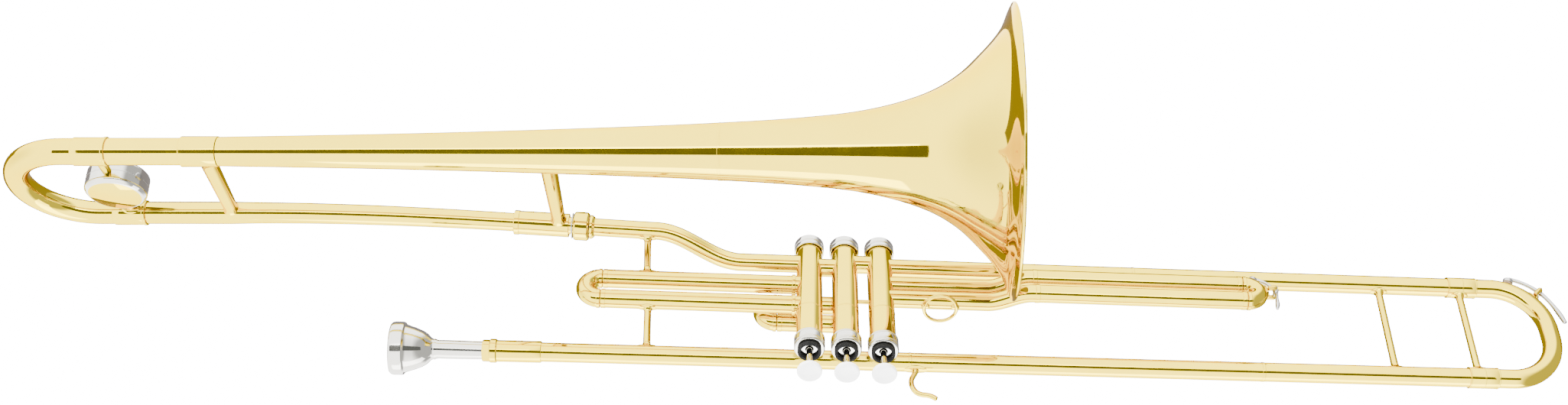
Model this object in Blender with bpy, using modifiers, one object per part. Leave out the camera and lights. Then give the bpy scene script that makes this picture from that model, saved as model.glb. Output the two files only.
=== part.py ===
"""Valve trombone in B flat: bell section, valve section and slides, each piece its own solid.

Frame: +X runs forward along the straight tubes, +Y to the player's left (the bell side), +Z up from the
return tube to the mouthpipe. The origin is on the middle valve's axis, level with the return tube.
"""
import bpy
import bmesh
from math import cos, pi, radians, sin
from mathutils import Vector

MM = 0.001

# ---- driving dimensions, in millimetres -------------------------------------------------------------
BELL_DIAMETER = 203.2          # an eight inch bell
RIM_CENTRE = (106.7, 128.6, 29.4)
BELL_DIRECTION = (1.0, 0.0567, 0.0183)
BELL_PLANE_LEAN = 24.7         # degrees from the bell axis down to the neckpipe
LEG_SPACING = 89.2             # bell axis to neckpipe axis at the tuning slide
LOCK_POINT = (-197.4, 20.0, -11.7)
LOCK_DIRECTION = (1.0, -0.016, 0.0235)

VALVE_SPACING = 25.6
CASING_RADIUS = 9.3
CASING_BORE = 8.4
CASING_BOTTOM = -21.5
CASING_TOP = 88.0
CAP_RADIUS = 10.8
VALVE_STROKE = 16.0
BUTTON_RADIUS = 8.7

MAIN_RADIUS = 6.8              # return tube, mouthpipe and front bow
SLIDE_RADIUS = 6.7             # outer tubes of the valve slides
INNER_RADIUS = 5.35            # moving legs inside them
WALL = 0.6
FIT = 0.35                     # clearance where one piece sits in or against another

MOUTHPIPE_Y = -18.2
MOUTHPIPE_Z = 82.2             # above the return tube, at the middle valve
MOUTHPIPE_SLOPE = -0.0093
BOW_START = 461.0              # where the front bow leaves its two ferrules
FERRULE_LENGTH = 21.0

TUBE_SIDES = 10
TURNED_SIDES = 16
BELL_SIDES = 28

PARTS = "valve_trombone"


# ---- scene and materials ----------------------------------------------------------------------------
def clear_scene():
    for old in list(bpy.data.objects):
        bpy.data.objects.remove(old, do_unlink=True)


def new_collection(name):
    collection = bpy.data.collections.new(name)
    bpy.context.scene.collection.children.link(collection)
    return collection


def new_material(name, colour, roughness, metallic):
    material = bpy.data.materials.new(name)
    material.use_nodes = True
    shader = material.node_tree.nodes["Principled BSDF"]
    shader.inputs["Base Color"].default_value = (*colour, 1.0)
    shader.inputs["Roughness"].default_value = roughness
    shader.inputs["Metallic"].default_value = metallic
    material.diffuse_color = (*colour, 1.0)
    return material


BRASS = ("lacquered_brass", (0.87, 0.67, 0.28), 0.16, 1.0)
SILVER = ("silver_plate", (0.83, 0.82, 0.80), 0.14, 1.0)
PEARL = ("pearl_button", (0.86, 0.86, 0.84), 0.25, 0.0)
FELT = ("black_felt", (0.02, 0.02, 0.02), 0.95, 0.0)
CORK = ("cork", (0.55, 0.36, 0.20), 0.9, 0.0)
STEEL = ("spring_steel", (0.55, 0.55, 0.57), 0.3, 1.0)


def finish(obj, name, recipe, parent=None):
    """Name an object, give it its own material, and hang it on its joint's empty."""
    obj.name = name
    obj.data.name = name
    label, colour, roughness, metallic = recipe
    obj.data.materials.clear()
    obj.data.materials.append(new_material(f"{label}_{name}", colour, roughness, metallic))
    parts.objects.link(obj)
    if parent is not None:
        bpy.context.view_layer.update()
        obj.parent = parent
        obj.matrix_parent_inverse = parent.matrix_world.inverted()
    return obj


def joint_empty(name, place, parent=None):
    empty = bpy.data.objects.new(name, None)
    empty.empty_display_size = 0.02
    empty.location = Vector(place) * MM
    parts.objects.link(empty)
    if parent is not None:
        bpy.context.view_layer.update()
        empty.parent = parent
        empty.matrix_parent_inverse = parent.matrix_world.inverted()
    bpy.context.view_layer.update()
    return empty


# ---- shapes -----------------------------------------------------------------------------------------
def curve_object(points, radii, sides):
    """A POLY curve through points; radii in millimetres at each point."""
    curve = bpy.data.curves.new("tube", "CURVE")
    curve.dimensions = "3D"
    curve.bevel_depth = MM
    curve.bevel_resolution = (sides - 4) // 2
    spline = curve.splines.new("POLY")
    spline.points.add(len(points) - 1)
    for slot, place, radius in zip(spline.points, points, radii):
        slot.co = (*(Vector(place) * MM), 1.0)
        slot.radius = radius
    for polygon_spline in curve.splines:
        polygon_spline.use_smooth = True
    return bpy.data.objects.new("tube", curve)


def tube(name, points, radii, recipe, parent=None, wall=WALL, sides=TUBE_SIDES):
    """A hollow tube, open at both ends, with its outer surface at the stated radii."""
    if not isinstance(radii, (list, tuple)):
        radii = [radii] * len(points)
    obj = curve_object(points, radii, sides)
    shell = obj.modifiers.new("wall", "SOLIDIFY")
    shell.thickness = wall * MM
    shell.offset = -1.0
    shell.use_even_offset = True
    return finish(obj, name, recipe, parent)


def rod(name, points, radii, recipe, parent=None, sides=8):
    """A solid wire or rod with filled ends."""
    if not isinstance(radii, (list, tuple)):
        radii = [radii] * len(points)
    obj = curve_object(points, radii, sides)
    obj.data.use_fill_caps = True
    return finish(obj, name, recipe, parent)


def turned(name, profile, place, direction, recipe, parent=None, ring=False, sides=TURNED_SIDES):
    """Turn (radius, height) points about an axis. A ring's profile closes on itself."""
    mesh = bpy.data.meshes.new(name)
    vertices = [(radius * MM, 0.0, height * MM) for radius, height in profile]
    edges = [(i, i + 1) for i in range(len(profile) - 1)]
    if ring:
        edges.append((len(profile) - 1, 0))
    mesh.from_pydata(vertices, edges, [])
    obj = bpy.data.objects.new(name, mesh)
    screw = obj.modifiers.new("turn", "SCREW")
    screw.axis = "Z"
    screw.angle = 2.0 * pi
    screw.steps = sides
    screw.render_steps = sides
    screw.use_merge_vertices = True
    screw.merge_threshold = 0.00001
    screw.use_smooth_shade = True
    obj.rotation_mode = "QUATERNION"
    obj.rotation_quaternion = Vector(direction).to_track_quat("Z", "Y")
    obj.location = Vector(place) * MM
    return finish(obj, name, recipe, parent)


def arc(centre, start, side, radius, sweep, steps):
    """Points of an arc from centre + start * radius, turning towards side."""
    centre = Vector(centre)
    angles = [sweep * i / steps for i in range(steps + 1)]
    return [centre + (start * cos(a) + side * sin(a)) * radius for a in angles]


def hermite(start, start_slope, end, end_slope, steps):
    """A smooth curve between two points with the given directions at its ends."""
    start = Vector(start)
    end = Vector(end)
    reach = (end - start).length
    slope_a = Vector(start_slope).normalized() * reach
    slope_b = Vector(end_slope).normalized() * reach
    points = []
    for i in range(steps + 1):
        t = i / steps
        a = 2 * t ** 3 - 3 * t ** 2 + 1
        b = t ** 3 - 2 * t ** 2 + t
        c = -2 * t ** 3 + 3 * t ** 2
        d = t ** 3 - t ** 2
        points.append(start * a + slope_a * b + end * c + slope_b * d)
    return points


def s_bend(start, end, steps):
    """A cosine S between two points whose tubes both run along X."""
    start = Vector(start)
    end = Vector(end)
    points = []
    for i in range(steps + 1):
        t = i / steps
        blend = (1.0 - cos(pi * t)) / 2.0
        across = start.lerp(end, blend)
        points.append(Vector((start.x + (end.x - start.x) * t, across.y, across.z)))
    return points


# ---- directions shared by several pieces ------------------------------------------------------------
X_AXIS = Vector((1.0, 0.0, 0.0))
Z_AXIS = Vector((0.0, 0.0, 1.0))
bell_axis = Vector(BELL_DIRECTION).normalized()
rim_centre = Vector(RIM_CENTRE)
lean = radians(BELL_PLANE_LEAN)
to_neck = Vector((0.0, -cos(lean), -sin(lean)))
to_neck = (to_neck - bell_axis * to_neck.dot(bell_axis)).normalized()
lock_point = Vector(LOCK_POINT)
lock_axis = Vector(LOCK_DIRECTION).normalized()
# The front bow and its braces lie in the plane of the return tube and the mouthpipe.
to_mouthpipe = Vector((0.0, MOUTHPIPE_Y, MOUTHPIPE_Z + MOUTHPIPE_SLOPE * BOW_START)).normalized()


def on_bell(along, across=0.0):
    """A point of the bell section: along the bell axis from the rim, across towards the neckpipe."""
    return rim_centre + bell_axis * along + to_neck * across


def on_mouthpipe(x):
    return Vector((x, MOUTHPIPE_Y, MOUTHPIPE_Z + MOUTHPIPE_SLOPE * x))


mouthpipe_axis = Vector((1.0, 0.0, MOUTHPIPE_SLOPE)).normalized()


# ---- bell section -----------------------------------------------------------------------------------
BELL_LENGTH = 543.4            # rim to the end of the tail, where the tail tube takes over
BELL_WALL = 0.7
RIM_FACE = 2.4                 # width of the rim's flat front, which the bell stands on
RIM_DEPTH = 1.2
# The bell mandrel: distance behind the rim, and radius there.
BELL_MANDREL = (
    (0.0, 101.6), (3.0, 96.8), (8.0, 84.5), (14.0, 76.0), (24.0, 65.0), (36.0, 53.5), (52.0, 43.2),
    (75.0, 34.4), (105.0, 27.6), (145.0, 23.2), (210.0, 19.3), (300.0, 15.8), (420.0, 12.4),
    (BELL_LENGTH, 10.2),
)
TAIL_RADIUS = 9.6
TAIL_FERRULE_RADIUS = 10.7
TAIL_FERRULE_LENGTH = 26.0
LEG_END = 620.3                # where the fixed tuning legs end and the moving slide begins
TUNING_FERRULE = 24.0
TUNING_INNER = 8.3
TUNING_REACH = 58.0
BOW_CENTRE = 653.8
BOW_RADIUS = LEG_SPACING / 2.0


def bell_radius(distance):
    """Outer radius of the bell at a distance behind the rim, straight between mandrel stations."""
    for (near, wide), (far, narrow) in zip(BELL_MANDREL, BELL_MANDREL[1:]):
        if near <= distance <= far:
            return wide + (narrow - wide) * (distance - near) / (far - near)
    return BELL_MANDREL[-1][1]


def bell():
    outer = [Vector((radius, -distance)) for distance, radius in BELL_MANDREL]
    inner = []
    for i in range(1, len(outer) - 1):
        along = (outer[i + 1] - outer[i - 1]).normalized()
        inner.append(outer[i] + Vector((along.y, -along.x)) * BELL_WALL)
    rim = BELL_DIAMETER / 2.0
    tail = [(outer[-1].x - BELL_WALL, outer[-1].y)]
    face = [(rim - RIM_FACE, RIM_DEPTH), (rim, RIM_DEPTH)]
    profile = [tuple(point) for point in outer] + tail + [tuple(point) for point in reversed(inner)] + face
    turned("bell", profile, rim_centre, bell_axis, BRASS, ring=True, sides=BELL_SIDES)


def bell_tail_tube():
    ferrule_start = BELL_LENGTH + TAIL_FERRULE_LENGTH
    points = [
        on_bell(-LEG_END + FIT),
        on_bell(-ferrule_start - 0.3),
        on_bell(-ferrule_start),
        on_bell(-BELL_LENGTH - FIT),
    ]
    radii = [TAIL_RADIUS, TAIL_RADIUS, TAIL_FERRULE_RADIUS, TAIL_FERRULE_RADIUS]
    tube("bell_tail_tube", points, radii, BRASS)


NECK_REAR = 7.8
NECK_FRONT = 6.7
NECK_SLEEVE = 8.6
NECK_TENON = 6.2
NECK_SOCKET = 558.0            # the tuning slide's lower leg runs in the neckpipe behind this
NECK_STRAIGHT = 540.0          # the neckpipe runs parallel to the bell as far as this behind the rim


def neckpipe():
    straight_end = on_bell(-NECK_STRAIGHT, LEG_SPACING)
    sleeve_start = lock_point - lock_axis * 42.5
    sleeve_end = lock_point - lock_axis * 2.8
    bend = hermite(straight_end, bell_axis, sleeve_start, lock_axis, 6)
    points = [on_bell(-LEG_END + FIT, LEG_SPACING), on_bell(-NECK_SOCKET, LEG_SPACING), *bend]
    radii = [NECK_REAR + 0.4, NECK_REAR + 0.4, NECK_REAR]
    radii += [NECK_REAR + (NECK_FRONT - NECK_REAR) * i / 6 for i in range(1, 7)]
    points += [sleeve_start + lock_axis * 0.3, sleeve_end, sleeve_end + lock_axis * 0.3]
    radii += [NECK_SLEEVE, NECK_SLEEVE, NECK_TENON]
    points.append(lock_point + lock_axis * 10.6)
    radii.append(NECK_TENON)
    tube("neckpipe", points, radii, BRASS)


def bell_brace(name, along_bell, along_neck, neck_across, bell_end, neck_end):
    """A brace from the bell's wall to the neckpipe's, a little thicker at the bell."""
    top = on_bell(-along_bell)
    foot = neck_across
    line = (foot - top).normalized()
    start = top + line * (bell_radius(along_bell) + bell_end)
    stop = foot - line * (along_neck + 0.5)
    rod(name, [start, start.lerp(stop, 0.5), stop], [5.8, 5.1, neck_end], BRASS, sides=12)


def bell_braces():
    rear_foot = Vector((-445.0, 16.2, -18.0))
    front_foot = Vector((-207.5, 20.1, -11.9))
    bell_brace("bell_brace_rear", 554.5, NECK_REAR, rear_foot, 1.6, 4.7)
    bell_brace("bell_brace_front", 318.3, NECK_SLEEVE, front_foot, 1.2, 4.7)


def bell_lock_nut():
    """The captive nut that draws the neckpipe's tenon into the receiver."""
    profile = [(9.3, 11.4), (10.4, 10.0), (10.4, 1.6), (9.6, 0.4), (7.0, 0.4), (7.0, 11.4)]
    turned("bell_lock_nut", profile, lock_point, lock_axis, BRASS, lock_empty, ring=True)


# ---- tuning slide -----------------------------------------------------------------------------------
WEIGHT_RADIUS = 21.8
WEIGHT_HALF = 9.5
WEIGHT_SET = 1.5               # the drum hangs this far off the post's axis
WEIGHT_AXIS_ACROSS = 49.0
WEIGHT_ALONG = 630.5
POST_RADIUS = 3.2


def tuning_slide():
    """The bow, its two ferrules and the two legs that slide inside the fixed tubes."""
    ferrule_end = LEG_END + TUNING_FERRULE
    upper = [
        (on_bell(-LEG_END + TUNING_REACH), TUNING_INNER),
        (on_bell(-LEG_END - FIT + 0.3), TUNING_INNER),
        (on_bell(-LEG_END - FIT), 10.0),
        (on_bell(-ferrule_end), 10.0),
        (on_bell(-ferrule_end - 0.3), 9.5),
    ]
    lower_inner = NECK_REAR - 0.85
    lower = [
        (on_bell(-ferrule_end - 0.3, LEG_SPACING), 8.3),
        (on_bell(-ferrule_end, LEG_SPACING), 8.9),
        (on_bell(-LEG_END - FIT, LEG_SPACING), 8.9),
        (on_bell(-LEG_END - FIT + 0.3, LEG_SPACING), lower_inner),
        (on_bell(-LEG_END + TUNING_REACH, LEG_SPACING), lower_inner),
    ]
    bow = arc(on_bell(-BOW_CENTRE, BOW_RADIUS), -to_neck, -bell_axis, BOW_RADIUS, pi, 10)
    points = [place for place, _ in upper] + bow + [place for place, _ in lower]
    radii = [radius for _, radius in upper]
    radii += [9.4 - 1.1 * i / 10 for i in range(11)]
    radii += [radius for _, radius in lower]
    tube("tuning_slide", points, radii, BRASS, tuning_empty)


def weight_place():
    return on_bell(-WEIGHT_ALONG, WEIGHT_AXIS_ACROSS)


def counterweight():
    """A heavy plated drum clamped on the tuning slide's cross post, which passes through it."""
    normal = bell_axis.cross(to_neck).normalized()
    if normal.z < 0.0:
        normal.negate()
    mesh = bpy.data.meshes.new("counterweight")
    drum = bmesh.new()
    bmesh.ops.create_cone(
        drum, cap_ends=True, segments=24, radius1=WEIGHT_RADIUS * MM, radius2=WEIGHT_RADIUS * MM,
        depth=2.0 * WEIGHT_HALF * MM)
    rims = [edge for edge in drum.edges if len({face.normal.z.__round__(2) for face in edge.link_faces}) == 2]
    bmesh.ops.bevel(drum, geom=rims, offset=2.6 * MM, segments=1, affect="EDGES")
    drum.to_mesh(mesh)
    drum.free()
    obj = bpy.data.objects.new("counterweight", mesh)
    obj.rotation_mode = "QUATERNION"
    obj.rotation_quaternion = normal.to_track_quat("Z", "Y")
    obj.location = (weight_place() - normal * WEIGHT_SET) * MM
    hole_mesh = bpy.data.meshes.new("post_hole")
    hole = bmesh.new()
    bmesh.ops.create_cone(
        hole, cap_ends=True, segments=12, radius1=(POST_RADIUS + FIT) * MM,
        radius2=(POST_RADIUS + FIT) * MM, depth=3.0 * WEIGHT_RADIUS * MM)
    hole.to_mesh(hole_mesh)
    hole.free()
    cutter = bpy.data.objects.new("post_hole", hole_mesh)
    cutter.rotation_mode = "QUATERNION"
    cutter.rotation_quaternion = to_neck.to_track_quat("Z", "Y")
    cutter.location = weight_place() * MM
    cutter.hide_render = True
    cutter.display_type = "WIRE"
    cutters.objects.link(cutter)
    cut = obj.modifiers.new("post_hole", "BOOLEAN")
    cut.object = cutter
    cut.operation = "DIFFERENCE"
    finish(obj, "counterweight", SILVER, tuning_empty)


def counterweight_post():
    top = on_bell(-WEIGHT_ALONG, 10.0 + FIT)
    bottom = on_bell(-WEIGHT_ALONG, LEG_SPACING - 8.9 - FIT)
    rod("counterweight_post", [top, bottom], POST_RADIUS, BRASS, tuning_empty)


# ---- gooseneck and valves ---------------------------------------------------------------------------
GOOSENECK_RADIUS = 6.5
GOOSENECK_BEND_START = -138.0
GOOSENECK_BEND_END = -75.0
GOOSENECK_Z = -1.3


def lock_line(x):
    return lock_point + lock_axis * ((x - lock_point.x) / lock_axis.x)


def gooseneck():
    """From the bell lock's receiver collar, down an S bend and into the first valve."""
    collar = [lock_point + lock_axis * along for along in (11.9, 14.2, 15.4)]
    bend_start = lock_line(GOOSENECK_BEND_START)
    bend_end = Vector((GOOSENECK_BEND_END, 0.0, GOOSENECK_Z))
    bend = s_bend(bend_start, bend_end, 8)
    valve_end = Vector((-VALVE_SPACING - CASING_RADIUS - FIT, 0.0, GOOSENECK_Z))
    points = collar + bend + [valve_end]
    radii = [8.6, 8.2, GOOSENECK_RADIUS] + [GOOSENECK_RADIUS] * (len(bend) + 1)
    tube("gooseneck", points, radii, BRASS)


LEDGE_LOW = 56.0
LEDGE_HIGH = 58.5
STEM_RADIUS = 2.1
STEM_HOLE = 2.9
COLLAR_TOP = 80.0
CAP_TOP = 92.4
FELT_LOW = 92.8
FELT_HIGH = 96.0
BUTTON_LOW = 112.8
BUTTON_HIGH = 116.6
PISTON_BOTTOM = -5.5
PISTON_TOP = 52.0


def valve_x(number):
    return (number - 2) * VALVE_SPACING


def valve_casing(number):
    """The casing tube, with the inner ledge that carries the return spring."""
    profile = [
        (CASING_RADIUS, CASING_TOP), (CASING_RADIUS, CASING_BOTTOM), (CASING_BORE, CASING_BOTTOM),
        (CASING_BORE, LEDGE_LOW), (STEM_HOLE, LEDGE_LOW), (STEM_HOLE, LEDGE_HIGH),
        (CASING_BORE, LEDGE_HIGH), (CASING_BORE, CASING_TOP),
    ]
    turned(f"valve_casing_{number}", profile, (valve_x(number), 0, 0), Z_AXIS, BRASS, ring=True)


def valve_caps(number):
    place = (valve_x(number), 0, 0)
    sleeve = CASING_RADIUS + 0.3
    top = [
        (CAP_RADIUS - 0.5, CAP_TOP), (CAP_RADIUS, CAP_TOP - 0.6), (CAP_RADIUS, 81.5), (sleeve, 81.5),
        (sleeve, CASING_TOP + 0.4), (STEM_HOLE, CASING_TOP + 0.4), (STEM_HOLE, CAP_TOP),
    ]
    turned(f"top_valve_cap_{number}", top, place, Z_AXIS, SILVER, ring=True)
    bottom = [
        (sleeve, -14.0), (CAP_RADIUS, -14.0), (CAP_RADIUS, -23.6), (CAP_RADIUS - 1.0, -24.6), (1.6, -24.6),
        (1.6, -22.6), (sleeve, -22.6),
    ]
    turned(f"bottom_valve_cap_{number}", bottom, place, Z_AXIS, SILVER, ring=True)


def valve_piston(number, parent):
    """A plugged piston with a blind stem socket in its top."""
    radius = CASING_BORE - FIT
    profile = [
        (STEM_RADIUS + FIT, PISTON_TOP), (radius - 0.4, PISTON_TOP), (radius, PISTON_TOP - 0.4),
        (radius, PISTON_BOTTOM + 0.4), (radius - 0.4, PISTON_BOTTOM), (1.2, PISTON_BOTTOM),
        (1.2, PISTON_TOP - 8.0), (STEM_RADIUS + FIT, PISTON_TOP - 8.0),
    ]
    turned(f"valve_piston_{number}", profile, (valve_x(number), 0, 0), Z_AXIS, STEEL, parent, ring=True)


def valve_stem(number, parent):
    """The stem screws into the piston, carries the spring's collar, and ends in the button."""
    profile = [
        (0.0, BUTTON_LOW - 0.4), (1.6, BUTTON_LOW - 0.4), (STEM_RADIUS, BUTTON_LOW - 1.2),
        (STEM_RADIUS, COLLAR_TOP), (6.4, COLLAR_TOP), (6.4, COLLAR_TOP - 1.8),
        (STEM_RADIUS, COLLAR_TOP - 1.8), (STEM_RADIUS, PISTON_TOP - 7.0), (0.0, PISTON_TOP - 7.0),
    ]
    turned(f"valve_stem_{number}", profile, (valve_x(number), 0, 0), Z_AXIS, SILVER, parent, sides=12)


def valve_button(number, parent):
    profile = [
        (0.0, BUTTON_HIGH - 0.3), (BUTTON_RADIUS - 1.2, BUTTON_HIGH), (BUTTON_RADIUS, BUTTON_HIGH - 1.0),
        (BUTTON_RADIUS, BUTTON_LOW + 1.2), (BUTTON_RADIUS - 1.6, BUTTON_LOW), (0.0, BUTTON_LOW),
    ]
    turned(f"finger_button_{number}", profile, (valve_x(number), 0, 0), Z_AXIS, PEARL, parent)


def valve_felt(number):
    profile = [(8.3, FELT_HIGH), (8.3, FELT_LOW), (5.2, FELT_LOW), (5.2, FELT_HIGH)]
    turned(f"valve_felt_{number}", profile, (valve_x(number), 0, 0), Z_AXIS, FELT, ring=True)


SPRING_TURNS = 4
SPRING_WIRE = 0.5
SPRING_RADIUS = 4.8


def valve_spring(number, parent):
    """The helix between the casing's ledge and the stem's collar."""
    low = LEDGE_HIGH + SPRING_WIRE + 0.3
    high = COLLAR_TOP - 1.8 - SPRING_WIRE - 0.3
    steps = SPRING_TURNS * 8
    points = []
    for i in range(steps + 1):
        turn = 2.0 * pi * SPRING_TURNS * i / steps
        height = low + (high - low) * i / steps
        points.append((valve_x(number) + SPRING_RADIUS * cos(turn), SPRING_RADIUS * sin(turn), height))
    rod(f"valve_spring_{number}", points, SPRING_WIRE, STEEL, parent, sides=4)


def valve_knuckles():
    """Short tubes that carry the air from one casing to the next."""
    for name, number, height in (("valve_knuckle_1_2", 1, 2.0), ("valve_knuckle_2_3", 2, -3.0)):
        start = valve_x(number) + CASING_RADIUS + FIT
        stop = valve_x(number + 1) - CASING_RADIUS - FIT
        tube(name, [(start, 0, height), (stop, 0, height)], 6.6, BRASS)


# ---- valve slides -----------------------------------------------------------------------------------
FIRST_LEGS = (22.9, 45.2)
FIRST_END = -173.4
SECOND_LEGS = (24.4, 44.8)
SECOND_Y = -17.0
SECOND_END = -47.9
THIRD_NEAR = ((0.0, 19.8), (1.0, 36.0))
THIRD_FAR = ((9.0, 17.4), (11.3, 37.0))
THIRD_BEND = (101.0, 133.0)
THIRD_END = 285.0


def slide_loop(name, legs, end, reach, forward, parent):
    """A bow with its two inner legs: legs are (y, z) pairs, end is the outer tubes' end."""
    first = Vector((0.0, *legs[0]))
    second = Vector((0.0, *legs[1]))
    across = (second - first).normalized()
    radius = (second - first).length / 2.0
    middle = (first + second) / 2.0
    seam = Vector((end + forward * FIT, 0.0, 0.0))
    step = Vector((forward * 0.3, 0.0, 0.0))
    inner = Vector((end - forward * reach, 0.0, 0.0))
    bow = arc(seam + middle + step, -across, X_AXIS * forward, radius, pi, 8)
    points = [inner + first, seam + first - step, *bow, seam + second - step, inner + second]
    radii = [INNER_RADIUS, INNER_RADIUS, *[SLIDE_RADIUS] * len(bow), INNER_RADIUS, INNER_RADIUS]
    tube(name, points, radii, BRASS, parent)


def first_slide_tubes():
    start = -VALVE_SPACING - CASING_RADIUS - FIT
    for name, height in zip(("first_slide_tube_lower", "first_slide_tube_upper"), FIRST_LEGS):
        tube(name, [(start, 0, height), (FIRST_END, 0, height)], SLIDE_RADIUS, BRASS)


def second_slide_tubes():
    """Each leaves the middle valve towards the right hand and turns back past the first valve."""
    bend = 7.3
    start = -CASING_RADIUS - FIT
    for name, height in zip(("second_slide_tube_lower", "second_slide_tube_upper"), SECOND_LEGS):
        corner = arc((-bend, SECOND_Y + bend, height), X_AXIS, Vector((0, -1, 0)), bend, pi / 2, 4)
        points = [Vector((0, start, height)), *corner, Vector((SECOND_END, SECOND_Y, height))]
        tube(name, points, SLIDE_RADIUS - 0.2, BRASS)


def third_slide_tubes():
    """From the third valve, round an S bend that carries them clear of the return tube."""
    start = VALVE_SPACING + CASING_RADIUS + FIT
    names = ("third_slide_tube_lower", "third_slide_tube_upper")
    for name, near, far in zip(names, THIRD_NEAR, THIRD_FAR):
        bend = s_bend((THIRD_BEND[0], *near), (THIRD_BEND[1], *far), 6)
        points = [Vector((start, *near)), *bend, Vector((THIRD_END, *far))]
        tube(name, points, SLIDE_RADIUS - 0.2, BRASS)


def finger_ring():
    """A ring for the left hand, lying on the third slide's upper tube."""
    height = THIRD_NEAR[1][1] + SLIDE_RADIUS - 0.2 + 0.3 + 1.3
    mesh_points = arc((67.4, 0.5, height), X_AXIS, Vector((0, 1, 0)), 11.6, 2 * pi, 18)[:-1]
    obj = curve_object(mesh_points, [1.3] * 18, 6)
    obj.data.splines[0].use_cyclic_u = True
    finish(obj, "finger_ring", BRASS)


# ---- mouthpipe, return tube and front bow -----------------------------------------------------------
def mouthpiece():
    """Turned cup, throat and tapered shank, open all the way through."""
    profile = [
        (3.9, 92.0), (5.9, 92.0), (6.3, 63.8), (6.6, 40.0), (6.4, 32.0), (7.6, 27.5), (11.4, 24.8),
        (15.2, 16.5), (16.6, 10.6), (18.6, 9.0), (18.6, 2.4), (17.2, 0.0), (14.4, 0.2), (12.9, 2.2),
        (12.2, 8.0), (9.0, 15.0), (3.4, 22.0), (3.2, 27.0),
    ]
    turned("mouthpiece", profile, on_mouthpipe(-316.5), mouthpipe_axis, SILVER, mouthpiece_empty,
           ring=True, sides=20)


def mouthpiece_receiver():
    """The collared socket that the mouthpiece shank pushes into."""
    stations = [(-252.8, 7.7), (-247.6, 7.7), (-247.3, 8.4), (-243.2, 8.4), (-242.9, 7.6), (-211.8, 7.6)]
    points = [on_mouthpipe(x) for x, _ in stations]
    tube("mouthpiece_receiver", points, [radius for _, radius in stations], BRASS, wall=0.8)


def mouthpipe():
    end = BOW_START - FERRULE_LENGTH - FIT
    tube("mouthpipe", [on_mouthpipe(-211.4), on_mouthpipe(end)], MAIN_RADIUS, BRASS)


def return_tube():
    start = VALVE_SPACING + CASING_RADIUS + FIT
    end = BOW_START - FERRULE_LENGTH - FIT
    tube("return_tube", [(start, 0, 0), (end, 0, 0)], MAIN_RADIUS, BRASS)


FERRULE_RADIUS = 7.5
FRONT_CORNER = 36.0
FRONT_STRAIGHT = 10.5
front_low = Vector((BOW_START, 0.0, 0.0))
front_high = on_mouthpipe(BOW_START)
low_corner = front_low + X_AXIS * FRONT_STRAIGHT + to_mouthpipe * FRONT_CORNER
high_corner = front_high + X_AXIS * FRONT_STRAIGHT - to_mouthpipe * FRONT_CORNER


def front_bow():
    """Two bends that nearly meet, with a ferrule on each end."""
    ferrule = BOW_START - FERRULE_LENGTH
    step = X_AXIS * 0.3
    first = arc(low_corner, -to_mouthpipe, X_AXIS, FRONT_CORNER, pi / 2, 6)
    second = arc(high_corner, X_AXIS, to_mouthpipe, FRONT_CORNER, pi / 2, 6)
    points = [Vector((ferrule, 0.0, 0.0)), front_low, front_low + step, *first, *second]
    points += [front_high + step, front_high, on_mouthpipe(ferrule)]
    radii = [FERRULE_RADIUS] * 2 + [MAIN_RADIUS] * (len(points) - 4) + [FERRULE_RADIUS] * 2
    tube("front_bow", points, radii, BRASS)


def cross_brace(name, start, stop, start_gap, stop_gap):
    """A rod with a spread foot at each end, between two tubes' surfaces."""
    line = (stop - start).normalized()
    low = start + line * start_gap
    high = stop - line * stop_gap
    points = [low, low + line * 2.2, high - line * 2.2, high]
    rod(name, points, [3.9, 2.7, 2.7, 3.9], BRASS)


def main_braces():
    for name, x, radius in (("front_brace_rear", 389.6, MAIN_RADIUS), ("front_brace_front", 448.4, FERRULE_RADIUS)):
        cross_brace(name, Vector((x, 0, 0)), on_mouthpipe(x), radius + 0.4, radius + 0.4)
    neck = lock_line(-143.5)
    slide = Vector((-142.0, 0.0, FIRST_LEGS[0]))
    cross_brace("gooseneck_brace", neck, slide, GOOSENECK_RADIUS + 0.5, SLIDE_RADIUS + 0.5)
    slide = Vector((-140.0, 0.0, FIRST_LEGS[1]))
    cross_brace("mouthpipe_brace", slide, on_mouthpipe(-138.8), SLIDE_RADIUS + 0.4, MAIN_RADIUS + 0.4)


def pinky_hook():
    """The right hand's little-finger hook, standing on the mouthpipe beyond the third valve."""
    outline = [(49.4, 7.4), (48.6, 10.0), (46.4, 15.0), (46.6, 20.0), (48.8, 24.6), (52.6, 27.0), (57.5, 27.7),
               (61.0, 28.9), (63.6, 30.8)]
    points = [on_mouthpipe(x) + to_mouthpipe * height for x, height in outline]
    rod("pinky_hook", points, [2.6, 2.0, 1.9, 1.9, 1.9, 1.9, 1.9, 1.9, 1.7], BRASS)


# ---- water keys -------------------------------------------------------------------------------------
KEY_OFFSET = 7.6
KEY_WIRE = 1.3


FRONT_KEY_PIVOT = 47.0         # degrees round the bow from the return tube's side
FRONT_KEY_CORK = 20.0


def front_bow_outward(angle):
    return -to_mouthpipe * cos(radians(angle)) + X_AXIS * sin(radians(angle))


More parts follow.
